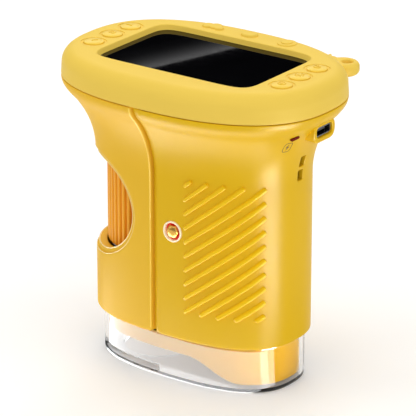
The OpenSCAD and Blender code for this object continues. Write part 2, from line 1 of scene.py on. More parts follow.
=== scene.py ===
"""Looks of a child's hand-held digital microscope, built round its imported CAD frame.

Lengths are millimetres here, and become metres when a mesh is made. The origin is on the
table under the middle of the grip. +X is the end with the charging socket, -X the end with
the focus wheel, and -Y the side that faces the camera.
"""

import json
import math

import bmesh
import bpy
import numpy as np
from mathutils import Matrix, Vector
from mathutils.geometry import delaunay_2d_cdt


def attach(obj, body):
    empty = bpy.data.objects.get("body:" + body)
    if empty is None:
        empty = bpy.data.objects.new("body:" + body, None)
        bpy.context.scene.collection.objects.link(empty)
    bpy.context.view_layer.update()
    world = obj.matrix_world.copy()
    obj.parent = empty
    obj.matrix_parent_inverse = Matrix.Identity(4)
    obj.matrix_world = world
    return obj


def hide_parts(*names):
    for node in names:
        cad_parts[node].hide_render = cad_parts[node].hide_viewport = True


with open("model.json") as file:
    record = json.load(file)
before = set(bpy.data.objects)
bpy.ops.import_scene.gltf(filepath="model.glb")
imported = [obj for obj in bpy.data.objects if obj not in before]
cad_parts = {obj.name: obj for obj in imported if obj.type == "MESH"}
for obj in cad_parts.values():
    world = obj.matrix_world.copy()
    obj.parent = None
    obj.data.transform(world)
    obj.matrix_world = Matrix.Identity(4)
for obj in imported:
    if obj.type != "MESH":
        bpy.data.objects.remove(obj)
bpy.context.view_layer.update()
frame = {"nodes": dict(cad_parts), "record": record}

MM = 0.001
TAU = 2 * math.pi

# Head.
HEAD_H = 101.3
SEAM_Z = 92.4
HEAD_Z = 92.68
HEAD_FILLET = 5.0
HEAD_DRAFT = 0.2
HEAD_WALL = 2.2
HEAD_N = 2.45
PLATE_Z = 99.7
WINDOW = (29.4, 19.4, 9.0)
WINDOW_BEVEL = 0.7
LIP_Z = 90.4
LIP_OUT = 2.4
LIP_IN = 3.8
BOSS_AT = (20.0, 22.0)
BOSS_Z = (88.9, 100.1)

# Buttons.
BUTTON_X = 35.3
BUTTON_Y = 0.2
BUTTON_PITCH = 9.4
BUTTON_R = 3.2
BUTTON_GAP = 0.07
BUTTON_TOP = 101.84
BUTTON_DOME = 0.72
MOAT_R = 4.05
MOAT_DEPTH = 0.3
ICON_H = 0.24

# Grip.
GRIP_A = 36.0
GRIP_B = 21.7
GRIP_N = 2.56
GRIP_Z = 15.4
WALL = 1.6
NECK_Z = 67.7
CREASE_Z = 86.2
FLARE_H = 36.7
FLARE_W = 47.9
RIM_W = 3.9
RIM_POWER = 1.05
FRONT_END = -4.25
REAR_END = -3.4
TONGUE_END = -6.2
TONGUE_DEPTH = 1.32
PROUD = 0.25
REBATE_W = 1.6
REBATE_DEPTH = 0.5
REBATE_FALL = 0.3

# Thumb scoop, seen from the side.
SCOOP_AT = (-30.0, 52.2)
SCOOP_A = 17.4
SCOOP_B = 15.0
SCOOP_LIP = 2.0
SCOOP_RUN = 0.28
# Rods that carry a painted highlight along the scoop's edges: offset, depth and radius.
SCOOP_HIGHLIGHT_RODS = ((1.97, 0.12, 0.15), (0.2, 0.92, 0.22))

# Ribs on the grip.
RIB_COUNT = 14
RIB_PITCH = 4.61
RIB_SLOPE = 0.846
RIB_FIRST_Z = 66.7
RIB_X0 = 8.1
RIB_X1 = {-1: 32.2, 1: 28.0}
RIB_Z = (25.2, 69.0)
RIB_W = 1.3
RIB_H = 1.1

# Openings in the rear shell.
STRAP_Y = 0.15
STRAP_SIZE = (2.9, 3.5)
STRAP_ZS = (69.95, 74.65)
FITTING_AT = (3.9, 51.0)
FITTING_R = 3.4
USB_AT = (1.0, 85.8)
USB_SIZE = (8.4, 3.45)
USB_FACE = 44.2
USB_RIM = 1.5
USB_ROUND = 1.2
USB_BASE = (38.6, 40.5, 42.5)
LIGHT_AT = (41.0, -10.4, 85.9)
LIGHT_TILT = 30.0
MARK_AT = (38.6, -10.4, 82.4)

# Clear foot and skirt.
FOOT = (34.4, 19.4, 2.57)
FOOT_TOP = 15.1
FOOT_EDGE = 0.8
COLLAR = 0.8
COLLAR_TOP = 20.9
FOOT_WALL = 1.3
FOOT_FLOOR = 1.2
SLOT_LIP = 0.22
VIEW_R = 11.0
SLIDE_W = 27.6
SLIDE_H = 2.2
SKIRT = (32.85, 17.85, 2.57)
SKIRT_WALL = 1.2
SKIRT_Z = (2.3, 9.0, 22.8)
SWEEP_X = (6.5, 25.0)
DECK_T = 1.4

# Focus wheel.
AXIS_X = -17.3
WHEEL_R = 16.2
WHEEL_ROOT = 14.65
WHEEL_RIBS = 48
WHEEL_BORE = 13.9
WHEEL_Z = (37.6, 66.8)

# Lanyard loop.
LOOP_DIR = math.radians(39)
LOOP_DIST = 43.0
LOOP_R = 5.0
LOOP_HOLE = (44.2, 1.7)
LOOP_Z = (94.5, 98.5)


# ---------- camera ----------


CAMERA_AIM = (0, 0, 0.045)
CAMERA_TURN = 35.887
CAMERA_LIFT = 21.679
CAMERA_FAR = 0.9452
CAMERA_LENS = 261.7
CAMERA_SHIFT = (0.0106, 0.0431)


def make_camera():
    """The photograph's view: a long lens from the front right, above."""
    azimuth, elevation = math.radians(CAMERA_TURN), math.radians(CAMERA_LIFT)
    flat = math.cos(elevation)
    back = Vector((math.sin(azimuth) * flat, -math.cos(azimuth) * flat, math.sin(elevation)))
    data = bpy.data.cameras.new("camera")
    data.sensor_width = 36
    data.lens = CAMERA_LENS
    data.shift_x, data.shift_y = CAMERA_SHIFT
    data.clip_start = 0.01
    camera = bpy.data.objects.new("camera", data)
    camera.location = Vector(CAMERA_AIM) + back * CAMERA_FAR
    camera.rotation_euler = back.to_track_quat("Z", "Y").to_euler()
    bpy.context.collection.objects.link(camera)
    bpy.context.scene.camera = camera


make_camera()


# ---------- outlines ----------


def oval_radius(angle, a, b, n):
    """Distance from the middle to a superellipse, in the direction angle."""
    return (abs(math.cos(angle) / a) ** n + abs(math.sin(angle) / b) ** n) ** (-1 / n)


def oval_point(angle, a, b, n):
    r = oval_radius(angle, a, b, n)
    return (r * math.cos(angle), r * math.sin(angle))


def oval_y(x, a, b, n):
    """Half width of a superellipse at x."""
    return b * max(0, 1 - (abs(x) / a) ** n) ** (1 / n)


class Outline:
    """A superellipse walked by its arc length, from the point on +X."""

    def __init__(self, a, b, n, steps=2880):
        self.shape = (a, b, n)
        self.angles = np.linspace(0, TAU, steps + 1)
        points = np.array([oval_point(t, a, b, n) for t in self.angles])
        runs = np.hypot(*np.diff(points, axis=0).T)
        self.lengths = np.concatenate([[0], np.cumsum(runs)])
        self.length = self.lengths[-1]

    def angle(self, s):
        return float(np.interp(s, self.lengths, self.angles))

    def point(self, s, inset=0.0):
        a, b, n = self.shape
        return oval_point(self.angle(s), a - inset, b - inset, n)

    def loop(self, count, inset=0.0):
        """Evenly spaced points right round."""
        return [self.point(self.length * i / count, inset) for i in range(count)]


def neck_out(z):
    """How far the neck stands outside the grip at height z."""
    if z <= NECK_Z:
        return 0.0
    if z <= CREASE_Z:
        return FLARE_W * (1 - math.sqrt(1 - ((z - NECK_Z) / FLARE_H) ** 2))
    part = min(1, (z - CREASE_Z) / (SEAM_Z - CREASE_Z))
    return neck_out(CREASE_Z) + RIM_W * math.sin(math.pi / 2 * part) ** RIM_POWER


def grip_section(z):
    """Half length, half width and exponent of the grip at height z."""
    part = min(1, max(0, (z - NECK_Z) / (SEAM_Z - NECK_Z)))
    grow = neck_out(z)
    return GRIP_A + grow, GRIP_B + grow, GRIP_N + (HEAD_N - GRIP_N) * part


HEAD_A = GRIP_A + neck_out(SEAM_Z)
HEAD_B = GRIP_B + neck_out(SEAM_Z)


class Half:
    """One half of the grip, unrolled: u runs round it from its middle, and z is height."""

    def __init__(self, middle, x_end, proud=0.0):
        self.middle = middle
        self.x_end = x_end
        self.proud = proud
        self.spans = {}
        reach = self.span(GRIP_Z)
        self.turns = np.linspace(0, reach, 800)
        points = np.array([oval_point(middle + t, GRIP_A, GRIP_B, GRIP_N) for t in self.turns])
        runs = np.hypot(*np.diff(points, axis=0).T)
        self.us = np.concatenate([[0], np.cumsum(runs)])
        self.length = float(self.us[-1])

    def section(self, z, depth):
        a, b, n = grip_section(z)
        fade = min(1, max(0, (SEAM_Z - z) / (SEAM_Z - CREASE_Z)))
        out = self.proud * fade - depth
        return a + out, b + out, n

    def span(self, z):
        """Angle from the middle of the half to its end, at height z."""
        if z not in self.spans:
            a, b, n = grip_section(z)
            end = math.atan2(oval_y(self.x_end, a, b, n), self.x_end)
            self.spans[z] = end if self.middle == 0 else math.pi - end
        return self.spans[z]

    def point(self, u, z, depth=0.0):
        turn = float(np.interp(abs(u), self.us, self.turns))
        turn *= self.span(z) / self.span(GRIP_Z)
        x, y = oval_point(self.middle + math.copysign(turn, u), *self.section(z, depth))
        return (x, y, z)

    def unroll(self, x, y, z):
        """Where the surface point in the direction of (x, y) lies on the unrolled half."""
        turn = math.atan2(y, x) - self.middle
        turn = (turn + math.pi) % TAU - math.pi
        turn *= self.span(GRIP_Z) / self.span(z)
        u = float(np.interp(abs(turn), self.turns, self.us))
        return (math.copysign(u, turn), z)


FRONT = Half(math.pi, FRONT_END, PROUD)
REAR = Half(0, REAR_END)


def circle(x, y, r, count=48):
    return [(x + r * math.cos(TAU * i / count), y + r * math.sin(TAU * i / count))
            for i in range(count)]


def quarter(steps, first=0, last=None):
    """Sine and cosine at even steps over a right angle."""
    turns = [math.pi / 2 * k / steps for k in range(first, (steps if last is None else last) + 1)]
    return [(math.sin(q), math.cos(q)) for q in turns]


def lifted(loop, z):
    return [(x, y, z) for x, y in loop]


def rounded_rect(width, height, corner, step=0.3, x=0.0, y=0.0):
    """A rounded rectangle, anticlockwise, with points about one step apart."""
    steps = max(4, round(math.pi / 2 * corner / step))
    points = []
    for k, (sx, sy) in enumerate([(1, 1), (-1, 1), (-1, -1), (1, -1)]):
        cx, cy = sx * (width / 2 - corner), sy * (height / 2 - corner)
        for i in range(steps + 1):
            q = math.pi / 2 * (k + i / steps)
            points.append((x + cx + corner * math.cos(q), y + cy + corner * math.sin(q)))
    return refine(points, step)


def refine(points, step):
    """Splits the sides of a closed loop that are longer than step."""
    fine = []
    for i, p in enumerate(points):
        q = points[(i + 1) % len(points)]
        parts = max(1, round(math.dist(p, q) / step))
        fine += [(p[0] + (q[0] - p[0]) * k / parts, p[1] + (q[1] - p[1]) * k / parts)
                 for k in range(parts)]
    return fine


# ---------- meshes ----------


class Skin:
    """Vertices and faces of one piece, gathered ring by ring."""

    def __init__(self):
        self.points = []
        self.faces = []

    def add(self, points):
        start = len(self.points)
        self.points += [tuple(p) for p in points]
        return list(range(start, len(self.points)))

    def bridge(self, a, b):
        count = len(a)
        for i in range(count):
            j = (i + 1) % count
            self.faces.append((a[i], a[j], b[j], b[i]))

    def rings(self, rings, closed=False):
        """Joins rings of points, one after another, and returns their vertices."""
        made = [self.add(r) for r in rings]
        for a, b in zip(made, made[1:]):
            self.bridge(a, b)
        if closed:
            self.bridge(made[-1], made[0])
        return made

    def rod(self, rings):
        """Rings joined one after another, with a flat face at both ends."""
        made = self.rings(rings)
        self.faces.append(tuple(made[0]))
        self.faces.append(tuple(reversed(made[-1])))

    def fan(self, ring, top):
        tip = self.add([top])[0]
        for i in range(len(ring)):
            self.faces.append((ring[i], ring[(i + 1) % len(ring)], tip))


def signed_area(loop):
    x, y = np.array(loop).T
    return float(np.sum(x * np.roll(y, -1) - y * np.roll(x, -1))) / 2


def turned(loop, anticlockwise):
    return loop if (signed_area(loop) > 0) == anticlockwise else loop[::-1]


def offset(loop, distance):
    """Moves a loop to its left. An outline runs anticlockwise and a hole clockwise, so that
    left is always into the material."""
    p = np.array(loop)
    ahead, behind = np.roll(p, -1, 0) - p, p - np.roll(p, 1, 0)
    ahead /= np.linalg.norm(ahead, axis=1)[:, None]
    behind /= np.linalg.norm(behind, axis=1)[:, None]
    along = ahead + behind
    along /= np.linalg.norm(along, axis=1)[:, None]
    left = np.stack([-along[:, 1], along[:, 0]], 1)
    return p + left * np.reshape(distance, (-1, 1))


def enclosed(points, loops):
    """Even-odd test of many points against closed loops."""
    x, y = points[:, 0], points[:, 1]
    odd = np.zeros(len(points), bool)
    for loop in loops:
        a = np.asarray(loop)
        b = np.roll(a, -1, 0)
        for (ax, ay), (bx, by) in zip(a, b):
            if ay != by:
                crosses = (ay > y) != (by > y)
                odd ^= crosses & (x < (bx - ax) * (y - ay) / (by - ay) + ax)
    return odd


def triangulate(loops, step, rows=None, lines=()):
    """Points and triangles of the region between closed loops. The loops' points come first.

    lines are open runs of points that edges must follow."""
    fixed = np.vstack(loops)
    edges, start = [], 0
    for loop in loops:
        count = len(loop)
        edges += [(start + i, start + (i + 1) % count) for i in range(count)]
        start += count
    for line in lines:
        fixed = np.vstack([fixed, line])
        edges += [(start + i, start + i + 1) for i in range(len(line) - 1)]
        start += len(line)
    low, high = fixed.min(0), fixed.max(0)
    if rows is None:
        rows = np.arange(low[1] + step / 2, high[1], step * 0.87)
    lattice = np.array([(x, y) for j, y in enumerate(rows)
                        for x in np.arange(low[0] + step * (j % 2) / 2, high[0], step)])
    lattice = lattice[enclosed(lattice, loops)]
    gap = np.full(len(lattice), 1e9)
    for p in fixed:
        gap = np.minimum(gap, np.hypot(lattice[:, 0] - p[0], lattice[:, 1] - p[1]))
    points = np.vstack([fixed, lattice[gap > 0.55 * step]])
    result = delaunay_2d_cdt([Vector(p) for p in points], edges, [], 0, 1e-7)
    source = [o[0] if o else -1 for o in result[3]]
    triangles = np.array([[source[i] for i in f] for f in result[2]])
    triangles = triangles[(triangles >= 0).all(1)]
    return points, triangles[enclosed(points[triangles].mean(1), loops)]


def round_lip(lip, wall, foot=0.25, steps=5):
    """The sections of a rounded lip, as (offset into the material, depth) from face to face.

    lip is a number, or a function of a point on the loop."""
    sections = []
    for k in range(2 * steps + 2):
        q = math.pi / 2 * min(k, 2 * steps + 1 - k) / steps
        sections.append((k <= steps, math.sin(q), math.cos(q)))

    def section(upper, s, c):
        if callable(lip):
            aside = lambda u, v: lip(u, v) * (1 - s)
            deep = lambda u, v: lip(u, v) * (1 - c) if upper else wall - foot * (1 - c)
            return aside, deep
        return lip * (1 - s), lip * (1 - c) if upper else wall - min(foot, lip) * (1 - c)

    return [section(*part) for part in sections]


def along(value, loop):
    """A number, or a function of a point, as one number for each point of a loop."""
    if callable(value):
        return np.array([value(u, v) for u, v in loop])
    return np.full(len(loop), float(value))


def lipped(skin, loops, lips, place, step, rows=None, lines=()):
    """A sheet of material between closed loops, with a lip round each of them.

    place(u, v, depth) gives a point. A lip is a list of sections, the first on the near face
    and the last on the far face. The first loop is the outline and the rest are holes."""
    loops = [turned(loop, i == 0) for i, loop in enumerate(loops)]
    inset = [offset(loop, along(lip[0][0], loop)) for loop, lip in zip(loops, lips)]
    wall = float(along(lips[0][-1][1], loops[0][:1])[0])
    points, triangles = triangulate(inset, step, rows, lines)
    upper = skin.add([place(u, v, 0) for u, v in points])
    lower = skin.add([place(u, v, wall) for u, v in points])
    skin.faces += [tuple(upper[i] for i in t) for t in triangles]
    skin.faces += [tuple(lower[i] for i in reversed(t)) for t in triangles]
    start = 0
    for loop, lip in zip(loops, lips):
        end = start + len(loop)
        last = upper[start:end]
        for aside, deep in lip[1:-1]:
            moved = offset(loop, along(aside, loop))
            depths = along(deep, loop)
            ring = skin.add([place(u, v, d) for (u, v), d in zip(moved, depths)])
            skin.bridge(last, ring)
            last = ring
        skin.bridge(last, lower[start:end])
        start = end


def flat_at(top):
    """A place function for a level plate."""
    return lambda x, y, depth: (x, y, top - depth)


def lathe(skin, profile, x=0.0, y=0.0, count=96, closed=True):
    """Turns a profile of (radius, height) round a vertical axis."""
    return skin.rings([lifted(circle(x, y, r, count), z) for r, z in profile], closed)


def rounded_profile(r0, r1, z0, z1, corner, steps=4):
    """The closed profile of a ring with rounded corners."""
    spots = [(r1, z1, 0), (r0, z1, 1), (r0, z0, 2), (r1, z0, 3)]
    profile = []
    for r, z, k in spots:
        cx = r - corner if r == r1 else r + corner
        cz = z - corner if z == z1 else z + corner
        profile += [(cx + corner * math.cos(math.pi / 2 * (k + i / steps)),
                     cz + corner * math.sin(math.pi / 2 * (k + i / steps)))
                    for i in range(steps + 1)]
    return profile


def piece(name, skin, body, slot, nodes=(), sharp=35.0, look=None):
    """Makes the object, cleans its mesh, ties it to its body and hides its CAD nodes. It takes
    its slot's look, unless look names another."""
    mesh = bpy.data.meshes.new(name)
    mesh.from_pydata([(x * MM, y * MM, z * MM) for x, y, z in skin.points], [], skin.faces)
    work = bmesh.new()
    work.from_mesh(mesh)
    bmesh.ops.remove_doubles(work, verts=work.verts, dist=0.000002)
    bmesh.ops.dissolve_degenerate(work, edges=work.edges, dist=0.000001)
    bmesh.ops.recalc_face_normals(work, faces=work.faces)
    work.to_mesh(mesh)
    work.free()
    mesh.shade_smooth()
    mesh.set_sharp_from_angle(angle=math.radians(sharp))
    made = bpy.data.objects.new(name, mesh)
    bpy.context.collection.objects.link(made)
    mesh.materials.append(LOOKS[look or slot])
    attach(made, body)
    if nodes:
        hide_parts(*nodes)
    return made


# ---------- materials ----------


def linear(r, g, b):
    """A display colour of 0 to 255 as the linear colour that a shader takes."""
    values = [c / 255 for c in (r, g, b)]
    return tuple(v / 12.92 if v <= 0.04045 else ((v + 0.055) / 1.055) ** 2.4
                 for v in values) + (1.0,)


def shade(colour, factor):
    return tuple(min(1, c * factor) for c in colour[:3]) + (1.0,)


def start_material(name):
    material = bpy.data.materials.new(name)
    material.use_nodes = True
    tree = material.node_tree
    return material, tree, tree.nodes["Principled BSDF"]


def noise(tree, scale, detail=2.0, stretch=(1, 1, 1)):
    """Noise over the object's own coordinates, in metres."""
    coordinates = tree.nodes.new("ShaderNodeTexCoord")
    mapping = tree.nodes.new("ShaderNodeMapping")
    mapping.inputs["Scale"].default_value = stretch
    texture = tree.nodes.new("ShaderNodeTexNoise")
    texture.inputs["Scale"].default_value = scale
    texture.inputs["Detail"].default_value = detail
    tree.links.new(coordinates.outputs["Object"], mapping.inputs["Vector"])
    tree.links.new(mapping.outputs["Vector"], texture.inputs["Vector"])
    return texture.outputs["Fac"]


def varied(tree, factor, low, high):
    """A number that wanders between low and high."""
    span = tree.nodes.new("ShaderNodeMapRange")
    span.inputs["From Min"].default_value = 0.3
    span.inputs["From Max"].default_value = 0.7
    span.inputs["To Min"].default_value = low
    span.inputs["To Max"].default_value = high
    tree.links.new(factor, span.inputs["Value"])
    return span.outputs["Result"]


def blended(tree, factor, dark, light):
    ramp = tree.nodes.new("ShaderNodeValToRGB")
    ramp.color_ramp.elements[0].position = 0.3
    ramp.color_ramp.elements[0].color = dark
    ramp.color_ramp.elements[1].position = 0.7
    ramp.color_ramp.elements[1].color = light
    tree.links.new(factor, ramp.inputs["Fac"])
    return ramp.outputs["Color"]


def surface(name, colour, rough, relief, depth, **uniform):
    """A shader whose colour, roughness and fine relief each follow a noise.

    colour is a noise and its dark and light ends, and rough is a noise with its two limits. The
    rest are sockets with one value, named with _ for a space."""
    material, tree, shader = start_material(name)
    pick, dark, light = colour
    tree.links.new(blended(tree, noise(tree, *pick), dark, light), shader.inputs["Base Color"])
    pick, low, high = rough
    tree.links.new(varied(tree, noise(tree, *pick), low, high), shader.inputs["Roughness"])
    bump = tree.nodes.new("ShaderNodeBump")
    bump.inputs["Strength"].default_value = 1.0
    bump.inputs["Distance"].default_value = depth
    tree.links.new(noise(tree, *relief), bump.inputs["Height"])
    tree.links.new(bump.outputs["Normal"], shader.inputs["Normal"])
    for socket, value in uniform.items():
        shader.inputs[socket.replace("_", " ")].default_value = value
    return material


def plastic(name, rgb, rough=0.4, grain=2600, depth=0.000006, gloss=0.5, glow=0.0, warm=False):
    """Moulded plastic: a fine spark-eroded grain, and a slight drift of colour and gloss."""
    colour = linear(*rgb)
    return surface(name, ((22, 3), shade(colour, 0.975), shade(colour, 1.025)),
                   ((140, 4), rough - 0.04, rough + 0.04), (grain, 2), depth, IOR=1.47,
                   Specular_IOR_Level=gloss, Specular_Tint=WARM if warm else WHITE,
                   Emission_Color=colour, Emission_Strength=glow)


def metal(name, rgb, rough=0.25):
    """Turned or stamped metal: fine drawn lines, and a drift in gloss."""
    colour, lines = linear(*rgb), (900, 3, (1, 1, 12))
    return surface(name, (lines, shade(colour, 0.9), colour), (lines, rough - 0.06, rough + 0.08),
                   lines, 0.000004, Metallic=1.0)


def clear(name, tone, ior):
    """Clear moulding or glass, with the faint waviness of a moulded face."""
    return surface(name, ((40, 2), tone, WHITE), ((300, 3), 0.0, 0.02), (120, 1), 0.0000015,
                   Transmission_Weight=1.0, IOR=ior)


def dark_glass(name):
    """The screen's cover glass: black behind, and glossy in front."""
    return surface(name, ((60, 2), (0.0012, 0.0012, 0.0016, 1), (0.0022, 0.0022, 0.0028, 1)),
                   ((500, 3), 0.015, 0.035), (25, 1), 0.000002, IOR=1.5, Specular_IOR_Level=0.18)


def board(name):
    """Solder mask with darker copper tracks under it."""
    tracks = (260, 1, (1, 4, 1))
    return surface(name, (tracks, linear(16, 70, 44), linear(30, 108, 66)),
                   (tracks, 0.3, 0.42), tracks, 0.00002)


WHITE = (1, 1, 1, 1)
WARM = (1, 0.84, 0.42, 1)

# Colour, roughness and, where they matter, the grain's scale and depth.
PLASTICS = {
    "head_plastic": ((243, 207, 90), 0.42),
    "front_plastic": ((241, 192, 54), 0.42),
    "rear_plastic": ((234, 188, 24), 0.36),
    "skirt_plastic": ((244, 185, 2), 0.35),
    "button_plastic": ((246, 209, 80), 0.34),
    "wheel_plastic": ((250, 174, 44), 0.42),
    "screen_black": ((12, 12, 16), 0.3),
    "black_rubber": ((22, 22, 22), 0.7, 1800, 0.00002),
    "black_plastic": ((26, 26, 28), 0.45),
    "white_plastic": ((236, 235, 230), 0.45),
    "frosted_plastic": ((243, 243, 243), 0.5, 3500, 0.00001),
    "pale_plastic": ((254, 240, 205), 0.35),
    "red_plastic": ((226, 8, 6), 0.35),
    "flex_film": ((190, 128, 44), 0.32, 900, 0.00001),
    "led_white": ((250, 240, 190), 0.3),
    "light_window": ((112, 26, 4), 0.6),
    "battery_wrap": ((58, 92, 150), 0.3, 700, 0.00001),
    # Painted highlight: the rods on the scoop's edges, lighter than the cover.
    "scoop_highlight_paint": ((255, 226, 140), 0.25),
    # Painted highlight: the rods along the front cover's edge at the seams.
    "edge": ((252, 212, 76), 0.3),
    # Painted highlight: the ribs, a lighter copy of the grip's plastic.
    "rib": ((250, 206, 26), 0.34),
    # Painted shade: the mark beside the socket, darker than the grip.
    "mark": ((120, 84, 8), 0.5),
}
# The scoop rods, seam rods and ribs are glossier than the shells, as part of their painted
# highlights.
GLOSS = {"head_plastic": 0.05, "front_plastic": 0.06, "rear_plastic": 0.09, "skirt_plastic": 0.04,
         "button_plastic": 0.25, "wheel_plastic": 0.25, "light_window": 0.02, "scoop_highlight_paint": 0.8,
         "edge": 0.5, "rib": 0.3, "mark": 0.2}
WARM_ONES = ("head_plastic", "front_plastic", "button_plastic", "wheel_plastic", "edge", "rib")
# Painted light: the side fitting's ring and washer glow a little, though they are no lamps.
PAINTED_GLOW = {"pale_plastic": 0.12, "red_plastic": 0.2}

LOOKS = {name: plastic(name, *values, gloss=GLOSS.get(name, 0.5), glow=PAINTED_GLOW.get(name, 0.0),
                       warm=name in WARM_ONES) for name, values in PLASTICS.items()}
LOOKS["clear_plastic"] = clear("clear_plastic", (0.965, 0.972, 0.975, 1), 1.49)
LOOKS["lens_glass"] = clear("lens_glass", (0.93, 0.96, 0.98, 1), 1.52)
LOOKS["screen_glass"] = dark_glass("screen_glass")
LOOKS["steel"] = metal("steel", (120, 121, 126))
LOOKS["brass"] = metal("brass", (222, 172, 82), 0.22)
LOOKS["circuit_board"] = board("circuit_board")


def dress_frame():
    """Every CAD node that stays in view takes the look of its slot."""
    for part in frame["record"]["subparts"]:
        node = frame["nodes"][part["node"]]
        for slot in node.material_slots:
            slot.material = LOOKS[part["material_slot"]]


# ---------- head ----------


def button_places():
    for side in (-1, 1):
        for i in (-1, 0, 1):
            yield side, i, side * BUTTON_X, BUTTON_Y + i * BUTTON_PITCH


def plane_face(skin, loops, z, step):
    """A level face between closed loops."""
    points, triangles = triangulate([np.array(loop) for loop in loops], step)
    made = skin.add([(x, y, z) for x, y in points])
    skin.faces += [tuple(made[i] for i in t) for t in triangles]


def head():
    skin = Skin()
    shape = Outline(HEAD_A, HEAD_B, HEAD_N)
    count, soft = 260, 0.25
    rim = HEAD_DRAFT + HEAD_FILLET
    outer = [(soft, HEAD_Z), (0.06, HEAD_Z + 0.06), (0, HEAD_Z + soft)]
    outer += [(HEAD_DRAFT * k / 4, HEAD_Z + soft + (HEAD_H - HEAD_FILLET - HEAD_Z - soft) * k / 4)
              for k in (1, 2, 3)]
    outer += [(HEAD_DRAFT + HEAD_FILLET * (1 - cos), HEAD_H - HEAD_FILLET * (1 - sin))
              for sin, cos in quarter(14)]
    skin.rings([lifted(shape.loop(count, o), z) for o, z in outer])
    inner_r = HEAD_FILLET - HEAD_WALL
    inner = [(HEAD_WALL + inner_r * (1 - cos), PLATE_Z - inner_r * (1 - sin))
             for sin, cos in quarter(5)[::-1]]
    inner += [(HEAD_WALL, HEAD_Z + 1.2), (LIP_IN, HEAD_Z), (LIP_IN, LIP_Z + 0.3),
              (LIP_IN - 0.3, LIP_Z), (LIP_OUT + 0.3, LIP_Z), (LIP_OUT, LIP_Z + 0.3),
              (LIP_OUT, HEAD_Z), (soft, HEAD_Z)]
    skin.rings([lifted(shape.loop(count, o), z) for o, z in inner])

    a, b, n = WINDOW
    window, soft = Outline(a, b, n), 0.3
    slope = [(-soft, HEAD_H), (-0.1, HEAD_H - 0.04), (0.05, HEAD_H - 0.14), (0.13, HEAD_H - soft),
             (WINDOW_BEVEL, PLATE_Z)]
    skin.rings([lifted(window.loop(200, o), z) for o, z in slope])
    tops, bottoms = [], []
    hole = BUTTON_R + BUTTON_GAP
    moat = [(MOAT_R + 0.14, 0), (MOAT_R + 0.04, -0.03), (MOAT_R, -0.12), (MOAT_R - 0.03, -0.27),
            (MOAT_R - 0.12, -MOAT_DEPTH), (hole + 0.1, -MOAT_DEPTH), (hole, -MOAT_DEPTH - 0.08),
            (hole, PLATE_Z - HEAD_H)]
    for _, _, x, y in button_places():
        skin.rings([lifted(circle(x, y, r), HEAD_H + z) for r, z in moat])
        tops.append(circle(x, y, moat[0][0]))
        bottoms.append(circle(x, y, hole))
    plane_face(skin, [shape.loop(count, rim), window.loop(200, -0.3)] + tops, HEAD_H, 1.6)
    plane_face(skin, [shape.loop(count, inner[0][0]), window.loop(200, WINDOW_BEVEL)] + bottoms,
               PLATE_Z, 2.2)
    for sx in (-1, 1):
        for sy in (-1, 1):
            place = (sx * BOSS_AT[0], sy * BOSS_AT[1])
            lathe(skin, rounded_profile(0.8, 2.2, *BOSS_Z, 0.15), *place, 32)
    return piece("head_shell", skin, "housing", "head_plastic", ["top_bezel"])


def lanyard_loop():
    """A flared ear with a hole, rounded all round."""
    skin = Skin()
    outline = []
    for i in range(-30, 31):
        q = math.radians(3.5 * i)
        outline.append((LOOP_DIST + LOOP_R * math.cos(q), LOOP_R * math.sin(q)))
    flare = [(LOOP_DIST - 1.3, 5.4), (LOOP_DIST - 2.6, 6.5), (LOOP_DIST - 4.6, 7.8)]
    outline += flare + [(x, -y) for x, y in flare[::-1]]
    hole = circle(LOOP_HOLE[0], 0, LOOP_HOLE[1], 40)
    c, s = math.cos(LOOP_DIR), math.sin(LOOP_DIR)

    def place(x, y, depth):
        return (x * c - y * s, x * s + y * c, LOOP_Z[1] - depth)

    tall = LOOP_Z[1] - LOOP_Z[0]
    lips = [round_lip(1.5, tall, 1.5, 8), round_lip(0.7, tall, 0.7)]
    lipped(skin, [refine(outline, 0.5), hole], lips, place, 0.7)
    return piece("lanyard_ear", skin, "housing", "head_plastic", ["lanyard_loop"])


def merged_circles(circles, count=72):
    """The outline round overlapping circles, seen from the first one's middle."""
    cx, cy, _ = circles[0]
    points = []
    for i in range(count):
        q = TAU * i / count
        reach = 0
        for x, y, r in circles:
            along = (x - cx) * math.cos(q) + (y - cy) * math.sin(q)
            aside = (x - cx) * math.sin(q) - (y - cy) * math.cos(q)
            if abs(aside) < r:
                reach = max(reach, along + math.sqrt(r * r - aside * aside))
        points.append((cx + reach * math.cos(q), cy + reach * math.sin(q)))
    return refine(points, 0.3)


def ornaments():
    """Three small generic reliefs on the far rim: a cloud, a pebble and a stepped disc."""
    skin = Skin()
    sunk = 0.2

    def relief(loop, height, lip):
        lipped(skin, [loop], [round_lip(lip, height + sunk, 0.05)], flat_at(HEAD_H + height), 0.4)

    relief(merged_circles([(-13, 24.6, 2.2), (-15.6, 24, 1.9), (-11, 23.6, 1.5)]), 0.62, 0.5)
    pebble = [(0.3 + 3.0 * x, 24 + 2.3 * y) for x, y in circle(0, 0, 1, 60)]
    relief(pebble, 0.74, 0.72)
    relief(circle(14.4, 24, 3.1, 64), 0.36, 0.3)
    relief(circle(14.4, 24, 1.9, 48), 0.7, 0.3)
    return piece("rim_reliefs", skin, "housing", "head_plastic", ["top_ornaments"])


def dome_z(r):
    return BUTTON_TOP - BUTTON_DOME * (1 - math.sqrt(max(0, 1 - (r / (BUTTON_R + 0.15)) ** 2)))


def icon_loops(name):
    """Generic marks, as loops round the middle of a button."""
    if name == "up":
        return [[[(-1.15, -0.75), (1.15, -0.75), (0, 1.1)]]]
    if name == "down":
        return [[[(-1.15, 0.75), (0, -1.1), (1.15, 0.75)]]]
    if name == "ok":
        return [[rounded_rect(2.3, 1.9, 0.5), rounded_rect(1.3, 0.95, 0.25)]]
    if name == "capture":
        return [[circle(0, 0, 1.35, 40), circle(0, 0, 0.95, 32)], [circle(0, 0, 0.45, 24)]]
    if name == "light":
        rays = [[circle(x, y, 0.2, 12)] for x, y in circle(0, 0, 1.3, 8)]
        return [[circle(0, 0, 0.62, 28)]] + rays
    return [[circle(0, 0, 1.2, 36), circle(0, 0, 0.85, 30)], [rounded_rect(0.34, 1.5, 0.15, y=0.6)]]


